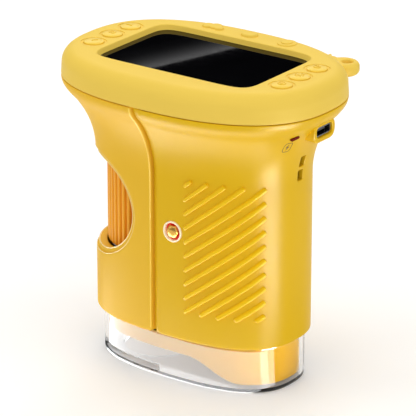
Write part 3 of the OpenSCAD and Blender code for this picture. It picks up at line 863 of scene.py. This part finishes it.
def button(name, x, y):
    skin = Skin()
    rise = [(BUTTON_R * sin, dome_z(BUTTON_R * sin)) for sin, _ in quarter(10, 1, 9)]
    skirt_r = BUTTON_R + 0.7
    rise += [(BUTTON_R - 0.03, rise[-1][1] - 0.1), (BUTTON_R, rise[-1][1] - 0.3),
             (BUTTON_R, PLATE_Z - 0.15), (BUTTON_R + 0.05, PLATE_Z - 0.1),
             (skirt_r - 0.05, PLATE_Z - 0.1), (skirt_r, PLATE_Z - 0.15),
             (skirt_r, PLATE_Z - 0.45), (skirt_r - 0.05, PLATE_Z - 0.5), (1.3, PLATE_Z - 0.5),
             (1.3, PLATE_Z - 0.58), (1.25, PLATE_Z - 0.6)]
    made = lathe(skin, rise, x, y, 72, closed=False)
    skin.fan(made[0], (x, y, BUTTON_TOP))
    skin.fan(made[-1], (x, y, PLATE_Z - 0.6))

    def place(u, v, depth):
        return (x + u, y + v, dome_z(math.hypot(u, v)) + ICON_H - depth)

    for loops in icon_loops(name):
        loops = [refine(loop, 0.12) for loop in loops]
        lips = [round_lip(0.05, ICON_H + 0.1, 0.02, 2)] * len(loops)
        lipped(skin, loops, lips, place, 0.25)
    return piece("key_" + name + "_cap", skin, "key_" + name, "button_plastic", ["button_" + name])


def buttons():
    names = {(-1, 1): "up", (-1, 0): "ok", (-1, -1): "down",
             (1, 1): "power", (1, 0): "light", (1, -1): "capture"}
    for side, i, x, y in button_places():
        button(names[(side, i)], x, y)


# ---------- grip ----------


def grip_rows():
    """Heights of the lattice: fine over the rim, with one row on the crease."""
    low = np.linspace(GRIP_Z + 0.3, CREASE_Z, 84)
    high = np.linspace(CREASE_Z, SEAM_Z, 13)[1:-1]
    return np.concatenate([low, high])


def half_outline(half, corner):
    """The unrolled half: straight sides, with its lower corners rounded."""
    w, h = 2 * half.length, SEAM_Z - GRIP_Z
    loop = rounded_rect(w, h, corner, 0.7, 0, GRIP_Z + h / 2)
    loop = [(x, z) for x, z in loop if abs(x) <= half.length - corner or z <= SEAM_Z - corner]
    top = [i for i, (_, z) in enumerate(loop) if z >= SEAM_Z - 1e-6]
    loop.insert(top[-1] + 1, (-half.length, SEAM_Z))
    loop.insert(top[0], (half.length, SEAM_Z))
    return refine(loop, 0.7)


def edge_lip(seam_lip, foot_lip, wall):
    """The lip of a half: larger along its lower edge than at the seams."""
    def size(u, z):
        return seam_lip + (foot_lip - seam_lip) * max(0, 1 - (z - GRIP_Z) / 1.4)
    return round_lip(size, wall, 0.2)


def on_grip(half, x, z):
    """The unrolled place of a point on the grip, seen from the near side."""
    return half.unroll(x, -oval_y(x, GRIP_A, GRIP_B, GRIP_N), z)


def scoop_loop():
    """The thumb scoop: an ellipse seen from the side, wrapped round the end of the grip."""
    cx, cz = SCOOP_AT
    start, steps = math.acos((-GRIP_A - cx) / SCOOP_A), 70
    near = []
    for i in range(steps + 1):
        q = start - 2 * start * i / steps
        x = max(cx + SCOOP_A * math.cos(q), -GRIP_A + 1e-6)
        near.append(on_grip(FRONT, x, cz + SCOOP_B * math.sin(q)))
    far = [(-u, z) for u, z in near[::-1]][1:-1]
    return refine(near + far, 0.7)


def scoop_lip(wall):
    """The scoop's edge: a crisp outer line, a sloping band, a rounded inner edge, and a
    flange that stops just short of the wheel."""
    def reach(u, z):
        x, y, _ = FRONT.point(u, z)
        return min(3.2, math.hypot(x - AXIS_X, y) - WHEEL_R - SCOOP_RUN)

    near = [(2.0, 0), (1.95, 0.02), (1.9, 0.12), (1.85, 0.48), (1.76, 0.6), (1.3, 0.66),
            (0.85, 0.68), (0.6, 0.7), (0.38, 0.78), (0.18, 0.98), (0.06, 1.3), (0, 1.7)]
    far = [(0.0, 0.25), (0.07, 0.07), (0.25, 0), (0.8, 0), (0.95, 0.1)]
    deep = [(aside, lambda u, z, back=back: max(1.72, reach(u, z) - back)) for aside, back in far]
    return near + deep + [(1.2, wall - 0.02), (SCOOP_LIP, wall)]


def front_shell():
    skin = Skin()
    wall = WALL + PROUD
    outline = half_outline(FRONT, 1.5)
    lips = [edge_lip(0.45, 0.85, wall), scoop_lip(wall)]
    lipped(skin, [outline, scoop_loop()], lips, FRONT.point, 0.95, grip_rows())
    return piece("front_cover", skin, "housing", "front_plastic", ["front_shell"])


def scoop_painted_highlights():
    """Rods along the scoop's outer and inner edges, lighter and glossier than the cover: a painted
    highlight on those edges.
    """
    skin = Skin()
    loop = turned(scoop_loop(), False)
    for aside, deep, r in SCOOP_HIGHLIGHT_RODS:
        rings = []
        for across, up in circle(0, 0, r, 10):
            moved = offset(loop, along(aside + across, loop))
            rings.append([FRONT.point(u, z, deep - up) for u, z in moved])
        skin.rings(rings, closed=True)
    return piece("scoop_painted_highlights", skin, "housing", "front_plastic", look="scoop_highlight_paint")


def seam_painted_highlights():
    """A thin rod along the edge of the front half, on both seams, lighter and glossier than the
    cover: a painted highlight on that edge.
    """
    skin = Skin()
    for side in (-1, 1):
        u = side * (FRONT.length - 0.3)
        skin.rod([[FRONT.point(u + across, z, 0.13 - up) for across, up in circle(0, 0, 0.17, 10)]
                  for z in np.linspace(GRIP_Z + 1.6, SEAM_Z - 0.2, 150)])
    return piece("seam_painted_highlights", skin, "housing", "front_plastic", look="edge")


def end_rect(width, height, corner, y, z, x=40.0):
    """A rounded rectangle on the socket's end, unrolled."""
    return [REAR.unroll(x, p, q) for p, q in rounded_rect(width, height, corner, 0.35, y, z)]


def side_circle(r):
    return [on_grip(REAR, x, z) for x, z in circle(*FITTING_AT, r, 48)]


def near_light(width, height, corner, at, tilt, step=0.2):
    """A rounded rectangle on the surface beside the socket, turned by tilt."""
    u0, z0 = REAR.unroll(*at)
    c, s = math.cos(math.radians(tilt)), math.sin(math.radians(tilt))
    return [(u0 + x * c - y * s, z0 + x * s + y * c)
            for x, y in rounded_rect(width, height, corner, step)]


def rebated(u, z, depth):
    """The rear half's surface, with a shallow rebate along both seams."""
    inside = max(0, abs(u) - REAR.length + REBATE_W)
    part = min(1, inside / 0.12)
    fall = REBATE_FALL * min(1, inside / REBATE_W)
    return REAR.point(u, z, depth + REBATE_DEPTH * part * (3 - 2 * part) * part + fall)


def rebate_lines():
    heights = np.arange(GRIP_Z + 1.5, SEAM_Z - 0.8, 0.7)
    lines = []
    for side in (-1, 1):
        for back in (REBATE_W, REBATE_W - 0.06, REBATE_W - 0.12):
            lines.append([(side * (REAR.length - back), z) for z in heights])
    return lines


def rear_shell():
    skin = Skin()
    outline = half_outline(REAR, 0.6)
    loops, lips = [outline], [edge_lip(0.25, 0.85, WALL)]
    for z in STRAP_ZS:
        loops.append(end_rect(*STRAP_SIZE, 0.35, STRAP_Y, z))
        lips.append(round_lip(0.2, WALL))
    loops.append(end_rect(USB_SIZE[0] + USB_RIM, USB_SIZE[1] + USB_RIM, 1.9, *USB_AT))
    lips.append(round_lip(0.1, WALL))
    loops.append(side_circle(FITTING_R + 0.08))
    lips.append(round_lip(0.2, WALL))
    loops.append(near_light(1.8, 0.6, 0.28, LIGHT_AT, LIGHT_TILT))
    lips.append(round_lip(0.05, WALL, 0.05, 2))
    lipped(skin, loops, lips, rebated, 0.95, grip_rows(), rebate_lines())
    for side in (-1, 1):
        tongue(skin, side)
    socket_boss(skin)
    return piece("rear_cover", skin, "housing", "rear_plastic", ["rear_shell"])


def tongue(skin, side):
    """The step along the seam that the front half laps over."""
    rings = []
    for z in np.linspace(GRIP_Z + 0.9, SEAM_Z - 0.1, 60):
        a, b, n = grip_section(z)
        section = []
        for x in (REAR_END + 1.5, REAR_END, (REAR_END + TONGUE_END) / 2, TONGUE_END):
            section.append((x, oval_y(x, a - TONGUE_DEPTH, b - TONGUE_DEPTH, n)))
        for x in (TONGUE_END, REAR_END, REAR_END + 1.5):
            section.append((x, oval_y(x, a - WALL + 0.02, b - WALL + 0.02, n)))
        rings.append([(x, side * y, z) for x, y in section])
    skin.rod(rings)


def socket_boss(skin):
    """The raised surround of the charging socket, with a soft rim."""
    w, h = USB_SIZE
    soft, edge = 0.45, 0.25
    wide, tall, corner = w + 2 * USB_RIM, h + 2 * USB_RIM, USB_ROUND + USB_RIM

    def ring(inset, x):
        loop = rounded_rect(wide - 2 * inset, tall - 2 * inset, corner - inset, 100)
        return [(x, USB_AT[0] + p, USB_AT[1] + q) for p, q in loop]

    rings = [ring(0, x) for x in USB_BASE + (USB_FACE - soft,)]
    rings += [ring(soft * (1 - cos), USB_FACE - soft * (1 - sin)) for sin, cos in quarter(5, 1)]
    rings += [ring(USB_RIM - edge * (1 - sin), USB_FACE - edge * (1 - cos))
              for sin, cos in quarter(4)]
    rings += [ring(USB_RIM, x) for x in USB_BASE[::-1]]
    skin.rings(rings, closed=True)


def socket_mark():
    """A generic battery mark with a bolt in it, moulded beside the socket, in a darker colour that
    paints the shade of its lines.
    """
    skin = Skin()
    u0, z0 = REAR.unroll(*MARK_AT)
    raised = 0.05

    def place(x, y, depth):
        return REAR.point(u0 + 0.85 * x + 0.02 * y, z0 + 1.2 * y, depth - raised)

    ring = [rounded_rect(3.1, 2.9, 0.9, 0.15), rounded_rect(2.74, 2.54, 0.74, 0.15)]
    bolt = [(0.15, 0.95), (-0.65, -0.1), (-0.1, -0.1), (-0.25, -0.95), (0.65, 0.15), (0.08, 0.15)]
    lip = round_lip(0.02, 0.15, 0.01, 2)
    lipped(skin, ring, [lip, lip], place, 0.3)
    lipped(skin, [refine(bolt, 0.12)], [lip], place, 0.3)
    return piece("socket_mark", skin, "housing", "rear_plastic", look="mark")


def rib_path(side, k):
    """Where one diagonal rib starts and ends, and its height at x = 0."""
    base = RIB_FIRST_Z - RIB_PITCH * k - RIB_SLOPE * RIB_X0
    x0 = max(RIB_X0, (RIB_Z[0] - base) / RIB_SLOPE)
    x1 = min(RIB_X1[side], (RIB_Z[1] - base) / RIB_SLOPE)
    return base, x0, x1


def ribs():
    """Diagonal ribs with rounded backs and rounded ends, on both sides of the grip, in a lighter
    and glossier copy of the grip's plastic that paints their highlight.
    """
    skin = Skin()
    for side in (-1, 1):
        for k in range(RIB_COUNT):
            base, x0, x1 = rib_path(side, k)
            if x1 - x0 >= RIB_W:
                skin.rod(rib_rings(side, base, x0, x1))
    return piece("ribs", skin, "housing", "rear_plastic", ["grip_ribs"], 60, "rib")


def rib_rings(side, base, x0, x1):
    """Sections along one rib, smaller towards both of its ends."""
    u0, u1 = (on_grip(REAR, x, 50)[0] for x in (x0, x1))
    z0, z1 = base + RIB_SLOPE * x0, base + RIB_SLOPE * x1
    length = math.hypot(u1 - u0, z1 - z0)
    du, dz = (u1 - u0) / length, (z1 - z0) / length
    half, across, sunk = RIB_W / 2, 9, 0.3
    ends = [half * (1 - cos) for _, cos in quarter(5)]
    middle = list(np.linspace(half, length - half, max(2, round(length / 1.2))))[1:-1]
    rings = []
    for s in ends + middle + [length - e for e in ends[::-1]]:
        edge = min(s, length - s, half) / half
        reach = math.sqrt(max(0.0004, 1 - (1 - edge) ** 2))

        def spot(aside, depth):
            return on_side(side, u0 + du * s - dz * aside, z0 + dz * s + du * aside, depth)

        ring = []
        for q in (math.pi * i / (across - 1) for i in range(across)):
            ring.append(spot(-half * reach * math.cos(q), -RIB_H * reach * math.sin(q) ** 0.5))
        ring += [spot(half * reach, sunk), spot(-half * reach, sunk)]
        rings.append(ring)
    return rings


def on_side(side, u, z, depth):
    x, y, z = REAR.point(u, z, depth)
    return (x, y if side < 0 else -y, z)


def along_y(points):
    """Turns a lathe's vertical axis to point out of the near side, through the fitting."""
    cx, cz = FITTING_AT
    return [(cx + x, -h, cz + y) for x, y, h in points]


def fitting():
    """The pale ring, red washer and brass post in the near side."""
    ring, washer, post = Skin(), Skin(), Skin()
    lathe(ring, rounded_profile(2.85, FITTING_R, 18.2, 22.0, 0.22), count=64)
    lathe(washer, rounded_profile(1.95, 2.85, 20.2, 20.85, 0.12), count=48)
    made = lathe(post, [(2.7, 15.5), (2.7, 17.9), (2.5, 18.1), (2.3, 18.1), (2.25, 18.3),
                        (2.25, 21.7), (2.1, 22.0), (1.4, 22.45)], count=6, closed=False)
    post.fan(made[0], (0, 0, 15.5))
    post.fan(made[-1], (0, 0, 22.5))
    for skin in (ring, washer, post):
        skin.points = along_y(skin.points)
    # The ring and washer take a faint glow from their looks: painted light.
    piece("fitting_ring", ring, "housing", "pale_plastic", ["side_ring"])
    piece("fitting_washer", washer, "housing", "red_plastic", ["side_washer"])
    piece("fitting_post", post, "housing", "brass", ["side_post"])


# ---------- focus wheel ----------


def wheel():
    """A wheel with rounded ribs, softened at both rims."""
    skin = Skin()
    per_rib = 12
    count = WHEEL_RIBS * per_rib
    z0, z1 = WHEEL_Z

    def ring(z, sink):
        loop = []
        for i in range(count):
            groove = math.exp(-(((i % per_rib) / per_rib - 0.5) / 0.14) ** 2)
            r = WHEEL_R - (WHEEL_R - WHEEL_ROOT) * groove - sink
            q = TAU * i / count
            loop.append((AXIS_X + r * math.cos(q), r * math.sin(q), z))
        return loop

    ends = [(0, 0.9), (0.1, 0.5), (0.35, 0.2), (0.8, 0.03), (1.3, 0)]
    rows = [(z0 + d, s) for d, s in ends]
    rows += [(z, 0) for z in np.linspace(z0 + 1.3, z1 - 1.3, 8)[1:-1]]
    rows += [(z1 - d, s) for d, s in ends[::-1]]
    made = skin.rings([ring(z, s) for z, s in rows])
    bore = lathe(skin, [(WHEEL_BORE, z1), (WHEEL_BORE, z0)], AXIS_X, 0, count, closed=False)
    skin.bridge(made[-1], bore[0])
    skin.bridge(bore[1], made[0])
    return piece("focus_wheel_grip", skin, "wheel", "wheel_plastic", ["focus_wheel"], 50)


# ---------- clear foot and skirt ----------


def clear_foot():
    skin = Skin()
    shape, count = Outline(*FOOT), 288
    foot_walls(skin, shape, count)
    edge = [(FOOT_EDGE * (1 - sin), FOOT_EDGE * (1 - cos)) for sin, cos in quarter(5)]
    skin.rings([lifted(shape.loop(count, o), z) for o, z in edge])
    soft = 0.2
    brim = [(0, FOOT_TOP - soft), (0.05, FOOT_TOP - 0.07), (soft, FOOT_TOP), (COLLAR, FOOT_TOP),
            (COLLAR, COLLAR_TOP - soft), (COLLAR + soft, COLLAR_TOP),
            (FOOT_WALL - soft, COLLAR_TOP), (FOOT_WALL, COLLAR_TOP - soft),
            (FOOT_WALL, FOOT_TOP - soft)]
    skin.rings([lifted(shape.loop(count, o), z) for o, z in brim])
    bore = [(VIEW_R + soft, 0), (VIEW_R + 0.05, 0.06), (VIEW_R, soft),
            (VIEW_R, FOOT_FLOOR - soft), (VIEW_R + 0.05, FOOT_FLOOR - 0.06),
            (VIEW_R + soft, FOOT_FLOOR)]
    lathe(skin, bore, AXIS_X, 0, 96, closed=False)
    opening = circle(AXIS_X, 0, VIEW_R + soft, 96)
    plane_face(skin, [shape.loop(count, FOOT_EDGE), opening], 0, 1.6)
    plane_face(skin, [shape.loop(count, FOOT_WALL), opening], FOOT_FLOOR, 1.6)
    return piece("clear_base", skin, "foot", "clear_plastic", ["clear_foot"])


def foot_walls(skin, shape, count):
    """The two sides of the foot's wall, with an opening for a slide in each long side."""
    low, high = FOOT_EDGE, FOOT_TOP - 0.2
    rows = np.linspace(low, high, 15)[1:-1]
    around = [shape.length * i / count for i in range(count + 1)]
    outline = [(s, low) for s in around] + [(shape.length, z) for z in rows]
    outline += [(s, high) for s in around[::-1]] + [(0, z) for z in rows[::-1]]
    slots = [turned(slide_slot(shape, side), False) for side in (-1, 1)]
    outlines = [np.array(outline)] + [offset(slot, SLOT_LIP) for slot in slots]
    points, triangles = triangulate(outlines, 1.0, rows)

    def inside(s, z):
        floor_z = FOOT_FLOOR + max(0, z - low) / 5
        return (*shape.point(s % shape.length, FOOT_WALL), max(z, floor_z) if z < 1.5 else z)

    upper = skin.add([(*shape.point(s % shape.length), z) for s, z in points])
    lower = skin.add([inside(s, z) for s, z in points])
    skin.faces += [tuple(upper[i] for i in t) for t in triangles]
    skin.faces += [tuple(lower[i] for i in reversed(t)) for t in triangles]
    start = len(outline)
    for slot in slots:
        end = start + len(slot)
        slot_rim(skin, shape, slot, upper[start:end], lower[start:end])
        start = end


def slot_rim(skin, shape, slot, upper, lower):
    """The rounded lip and the depth of one slide opening, from the outer skin to the inner."""
    last = upper
    for sin, cos in quarter(4, 1):
        moved, depth = offset(slot, SLOT_LIP * (1 - sin)), SLOT_LIP * (1 - cos)
        ring = skin.add([(*shape.point(s, depth), z) for s, z in moved])
        skin.bridge(last, ring)
        last = ring
    ring = skin.add([(*shape.point(s, FOOT_WALL - 0.2), z) for s, z in slot])
    skin.bridge(last, ring)
    skin.bridge(ring, lower)


def slide_slot(shape, side):
    """The opening for a specimen slide, in one long wall."""
    a, b, n = FOOT
    z = FOOT_FLOOR + 0.12 + SLIDE_H / 2
    flat = rounded_rect(SLIDE_W, SLIDE_H, 0.4, 0.5, AXIS_X, z)
    loop = []
    for x, height in flat:
        angle = math.atan2(side * oval_y(x, a, b, n), x) % TAU
        loop.append((float(np.interp(angle, shape.angles, shape.lengths)), height))
    return loop


def skirt_edge(x):
    low, high, _ = SKIRT_Z
    part = min(1, max(0, (x - SWEEP_X[0]) / (SWEEP_X[1] - SWEEP_X[0])))
    return high - (high - low) * (1 - math.cos(math.pi * part)) / 2


def skirt():
    """The yellow skirt inside the clear foot, and the deck that carries the lamps."""
    skin = Skin()
    shape, count = Outline(*SKIRT), 288
    top = SKIRT_Z[2]

    def ring(inset, part, lift):
        loop = []
        for x, y in shape.loop(count, inset):
            low = skirt_edge(x) + lift
            loop.append((x, y, low + (top - low) * part))
        return loop

    wall = SKIRT_WALL
    edge = [(0.3, 0), (0.09, 0.09), (0, 0.3)]
    rings = [ring(i, 0, h) for i, h in edge]
    rings += [ring(0, k / 12, 0.3) for k in range(1, 13)]
    rings += [ring(wall, k / 12, 0.3) for k in range(12, 0, -1)]
    rings += [ring(wall - i, 0, h) for i, h in edge[::-1]]
    skin.rings(rings, closed=True)
    deck = Outline(GRIP_A - WALL - 0.25, GRIP_B - WALL - 0.25, GRIP_N).loop(240)
    holes = [circle(AXIS_X, 0, 9.5, 72), circle(16, 12, 0.8, 24), circle(16, -12, 0.8, 24)]
    lips = [round_lip(size, DECK_T, 0.1, 3) for size in (0.2, 0.15, 0.05, 0.05)]
    lipped(skin, [deck] + holes, lips, flat_at(top + DECK_T), 1.8)
    return piece("lamp_skirt", skin, "housing", "skirt_plastic", ["inner_skirt"])


# ---------- stage ----------


def make_floor():
    """A wide, pale, level floor."""
    bm = bmesh.new()
    bmesh.ops.create_grid(bm, x_segments=24, y_segments=24, size=6)
    mesh = bpy.data.meshes.new("floor")
    bm.to_mesh(mesh)
    bm.free()
    floor = bpy.data.objects.new("floor", mesh)
    bpy.context.collection.objects.link(floor)
    mesh.materials.append(plastic("floor_paint", (252, 252, 252), 0.9, 300, 0.00001, 0, 0.1))
    floor.location.z = -0.0002


def softbox(name, at, aim, size, power):
    data = bpy.data.lights.new(name, "AREA")
    data.shape = "RECTANGLE"
    data.size, data.size_y = size
    data.energy = power
    light = bpy.data.objects.new(name, data)
    light.location = at
    light.rotation_euler = (Vector(at) - Vector(aim)).to_track_quat("Z", "Y").to_euler()
    bpy.context.collection.objects.link(light)


CARD_Z = -0.1
CARD_FALL = 3.2


def card(name, corners, near, far=None):
    """A bounce card that only reflections see. Its glow is near all over or, with far given,
    falls from near, along the side between its first and last corners, to far opposite."""
    mesh = bpy.data.meshes.new(name)
    mesh.from_pydata([Vector(c) * MM for c in corners], [], [tuple(range(len(corners)))])
    made = bpy.data.objects.new(name, mesh)
    bpy.context.collection.objects.link(made)
    material, tree, shader = start_material(name)
    shader.inputs["Base Color"].default_value = (0, 0, 0, 1)
    shader.inputs["Specular IOR Level"].default_value = 0
    shader.inputs["Emission Color"].default_value = (1, 1, 1, 1)
    shader.inputs["Emission Strength"].default_value = near
    if far is not None:
        layer = mesh.uv_layers.new(name="run")
        for loop, run in zip(layer.data, (1, 0, 0, 1)):
            loop.uv = (run, 0)
        coordinates = tree.nodes.new("ShaderNodeTexCoord")
        parts = tree.nodes.new("ShaderNodeSeparateXYZ")
        falling = tree.nodes.new("ShaderNodeMath")
        falling.operation = "POWER"
        falling.inputs[1].default_value = CARD_FALL
        span = tree.nodes.new("ShaderNodeMapRange")
        span.inputs["To Min"].default_value = far
        span.inputs["To Max"].default_value = near
        tree.links.new(coordinates.outputs["UV"], parts.inputs["Vector"])
        tree.links.new(parts.outputs["X"], falling.inputs[0])
        tree.links.new(falling.outputs["Value"], span.inputs["Value"])
        tree.links.new(span.outputs["Result"], shader.inputs["Emission Strength"])
    mesh.materials.append(material)
    made.visible_camera = False
    made.visible_diffuse = False
    made.visible_transmission = False
    made.visible_shadow = False


def around(start, azimuth, distance):
    """A point just under the floor, in a direction measured from -Y towards +X."""
    q = math.radians(azimuth)
    return (start[0] + distance * math.sin(q), start[1] - distance * math.cos(q), CARD_Z)


def mirrored(x, y, distance):
    """Where the camera's ray through a point of the screen goes after it's reflected."""
    start = Vector((x, y, PLATE_Z))
    ray = (start - bpy.context.scene.camera.location / MM).normalized()
    ray.z = -ray.z
    return start + ray * distance


def make_cards():
    """Cards lying beside the foot give its veil and its bright strip, and one further out
    gives the grip its soft upright highlight. A dark card keeps the last part of the foot
    clear."""
    front, side, end, reach = (34, -13), (37, -10), (38, -7), 36
    at = [(*spot, CARD_Z) for spot in (front, side, end)]
    veil = [(x, y, CARD_Z) for x, y in ((-90, front[1]), (-90, -56), (30, -56))]
    card("veil_card", veil + [around(front, 50, reach), at[0]], 8.3)
    card("strip_card", [at[0], around(front, 50, reach), around(front, 76, reach), at[1]], 14)
    card("soft_card", [at[1], around(front, 76, reach), around(front, 98, 40), at[2]], 9, 7)
    card("patch_flag", [at[2], around(front, 98, 60), around((38, 0), 115, 70),
                        around((38, 8), 160, 60), (38, 8, CARD_Z)], 0.0)
    post = (28, -16)
    card("highlight_card", [around(post, 59, 75), around(post, 61, 320), around(post, 99, 320),
                            around(post, 101, 75)], 44)
    screen_cards()


def screen_cards():
    """A dark card keeps the screen black, and a fading one crosses the screen's left end."""
    beyond = 60
    whole = ((-beyond, -beyond), (beyond, -beyond), (beyond, beyond), (-beyond, beyond))
    card("screen_flag", [mirrored(x, y, 700) for x, y in whole], 0.0)
    (x0, y0), (x1, y1) = (-9.5, -20), (4.2, 26)
    run_x, run_y = -17, 5
    band = ((x0, y0), (x0 + run_x, y0 + run_y), (x1 + run_x, y1 + run_y), (x1, y1))
    card("screen_card", [mirrored(x, y, 400) for x, y in band], 0.85, 0.01)


# The name, place, aim, size and power of each light, in metres and watts.
LIGHTS = (
    ("top", (-0.1, -0.1, 1.1), (0, 0, 0.05), (1.2, 1.2), 6.0),
    ("fill", (-0.8, -0.55, 0.55), (0, 0, 0.05), (0.6, 0.8), 1.4),
    ("right", (1.0, -0.3, 0.6), (0, 0, 0.05), (1.3, 1.0), 4.0),
    ("back", (-0.75, 1.05, 0.95), (0, 0, 0.1), (1.3, 0.6), 6.0),
)


def make_lights():
    world = bpy.data.worlds.new("studio")
    world.use_nodes = True
    background = world.node_tree.nodes["Background"]
    background.inputs["Color"].default_value = (1, 1, 1, 1)
    background.inputs["Strength"].default_value = 0.38
    bpy.context.scene.world = world
    for light in LIGHTS:
        softbox(*light)
    bpy.context.scene.view_settings.view_transform = "Standard"
    bpy.context.scene.view_settings.look = "None"


# ---------- assembly ----------

dress_frame()
head()
lanyard_loop()
ornaments()
buttons()
front_shell()
scoop_painted_highlights()
seam_painted_highlights()
rear_shell()
ribs()
fitting()
socket_mark()
wheel()
clear_foot()
skirt()
make_floor()
make_cards()
make_lights()
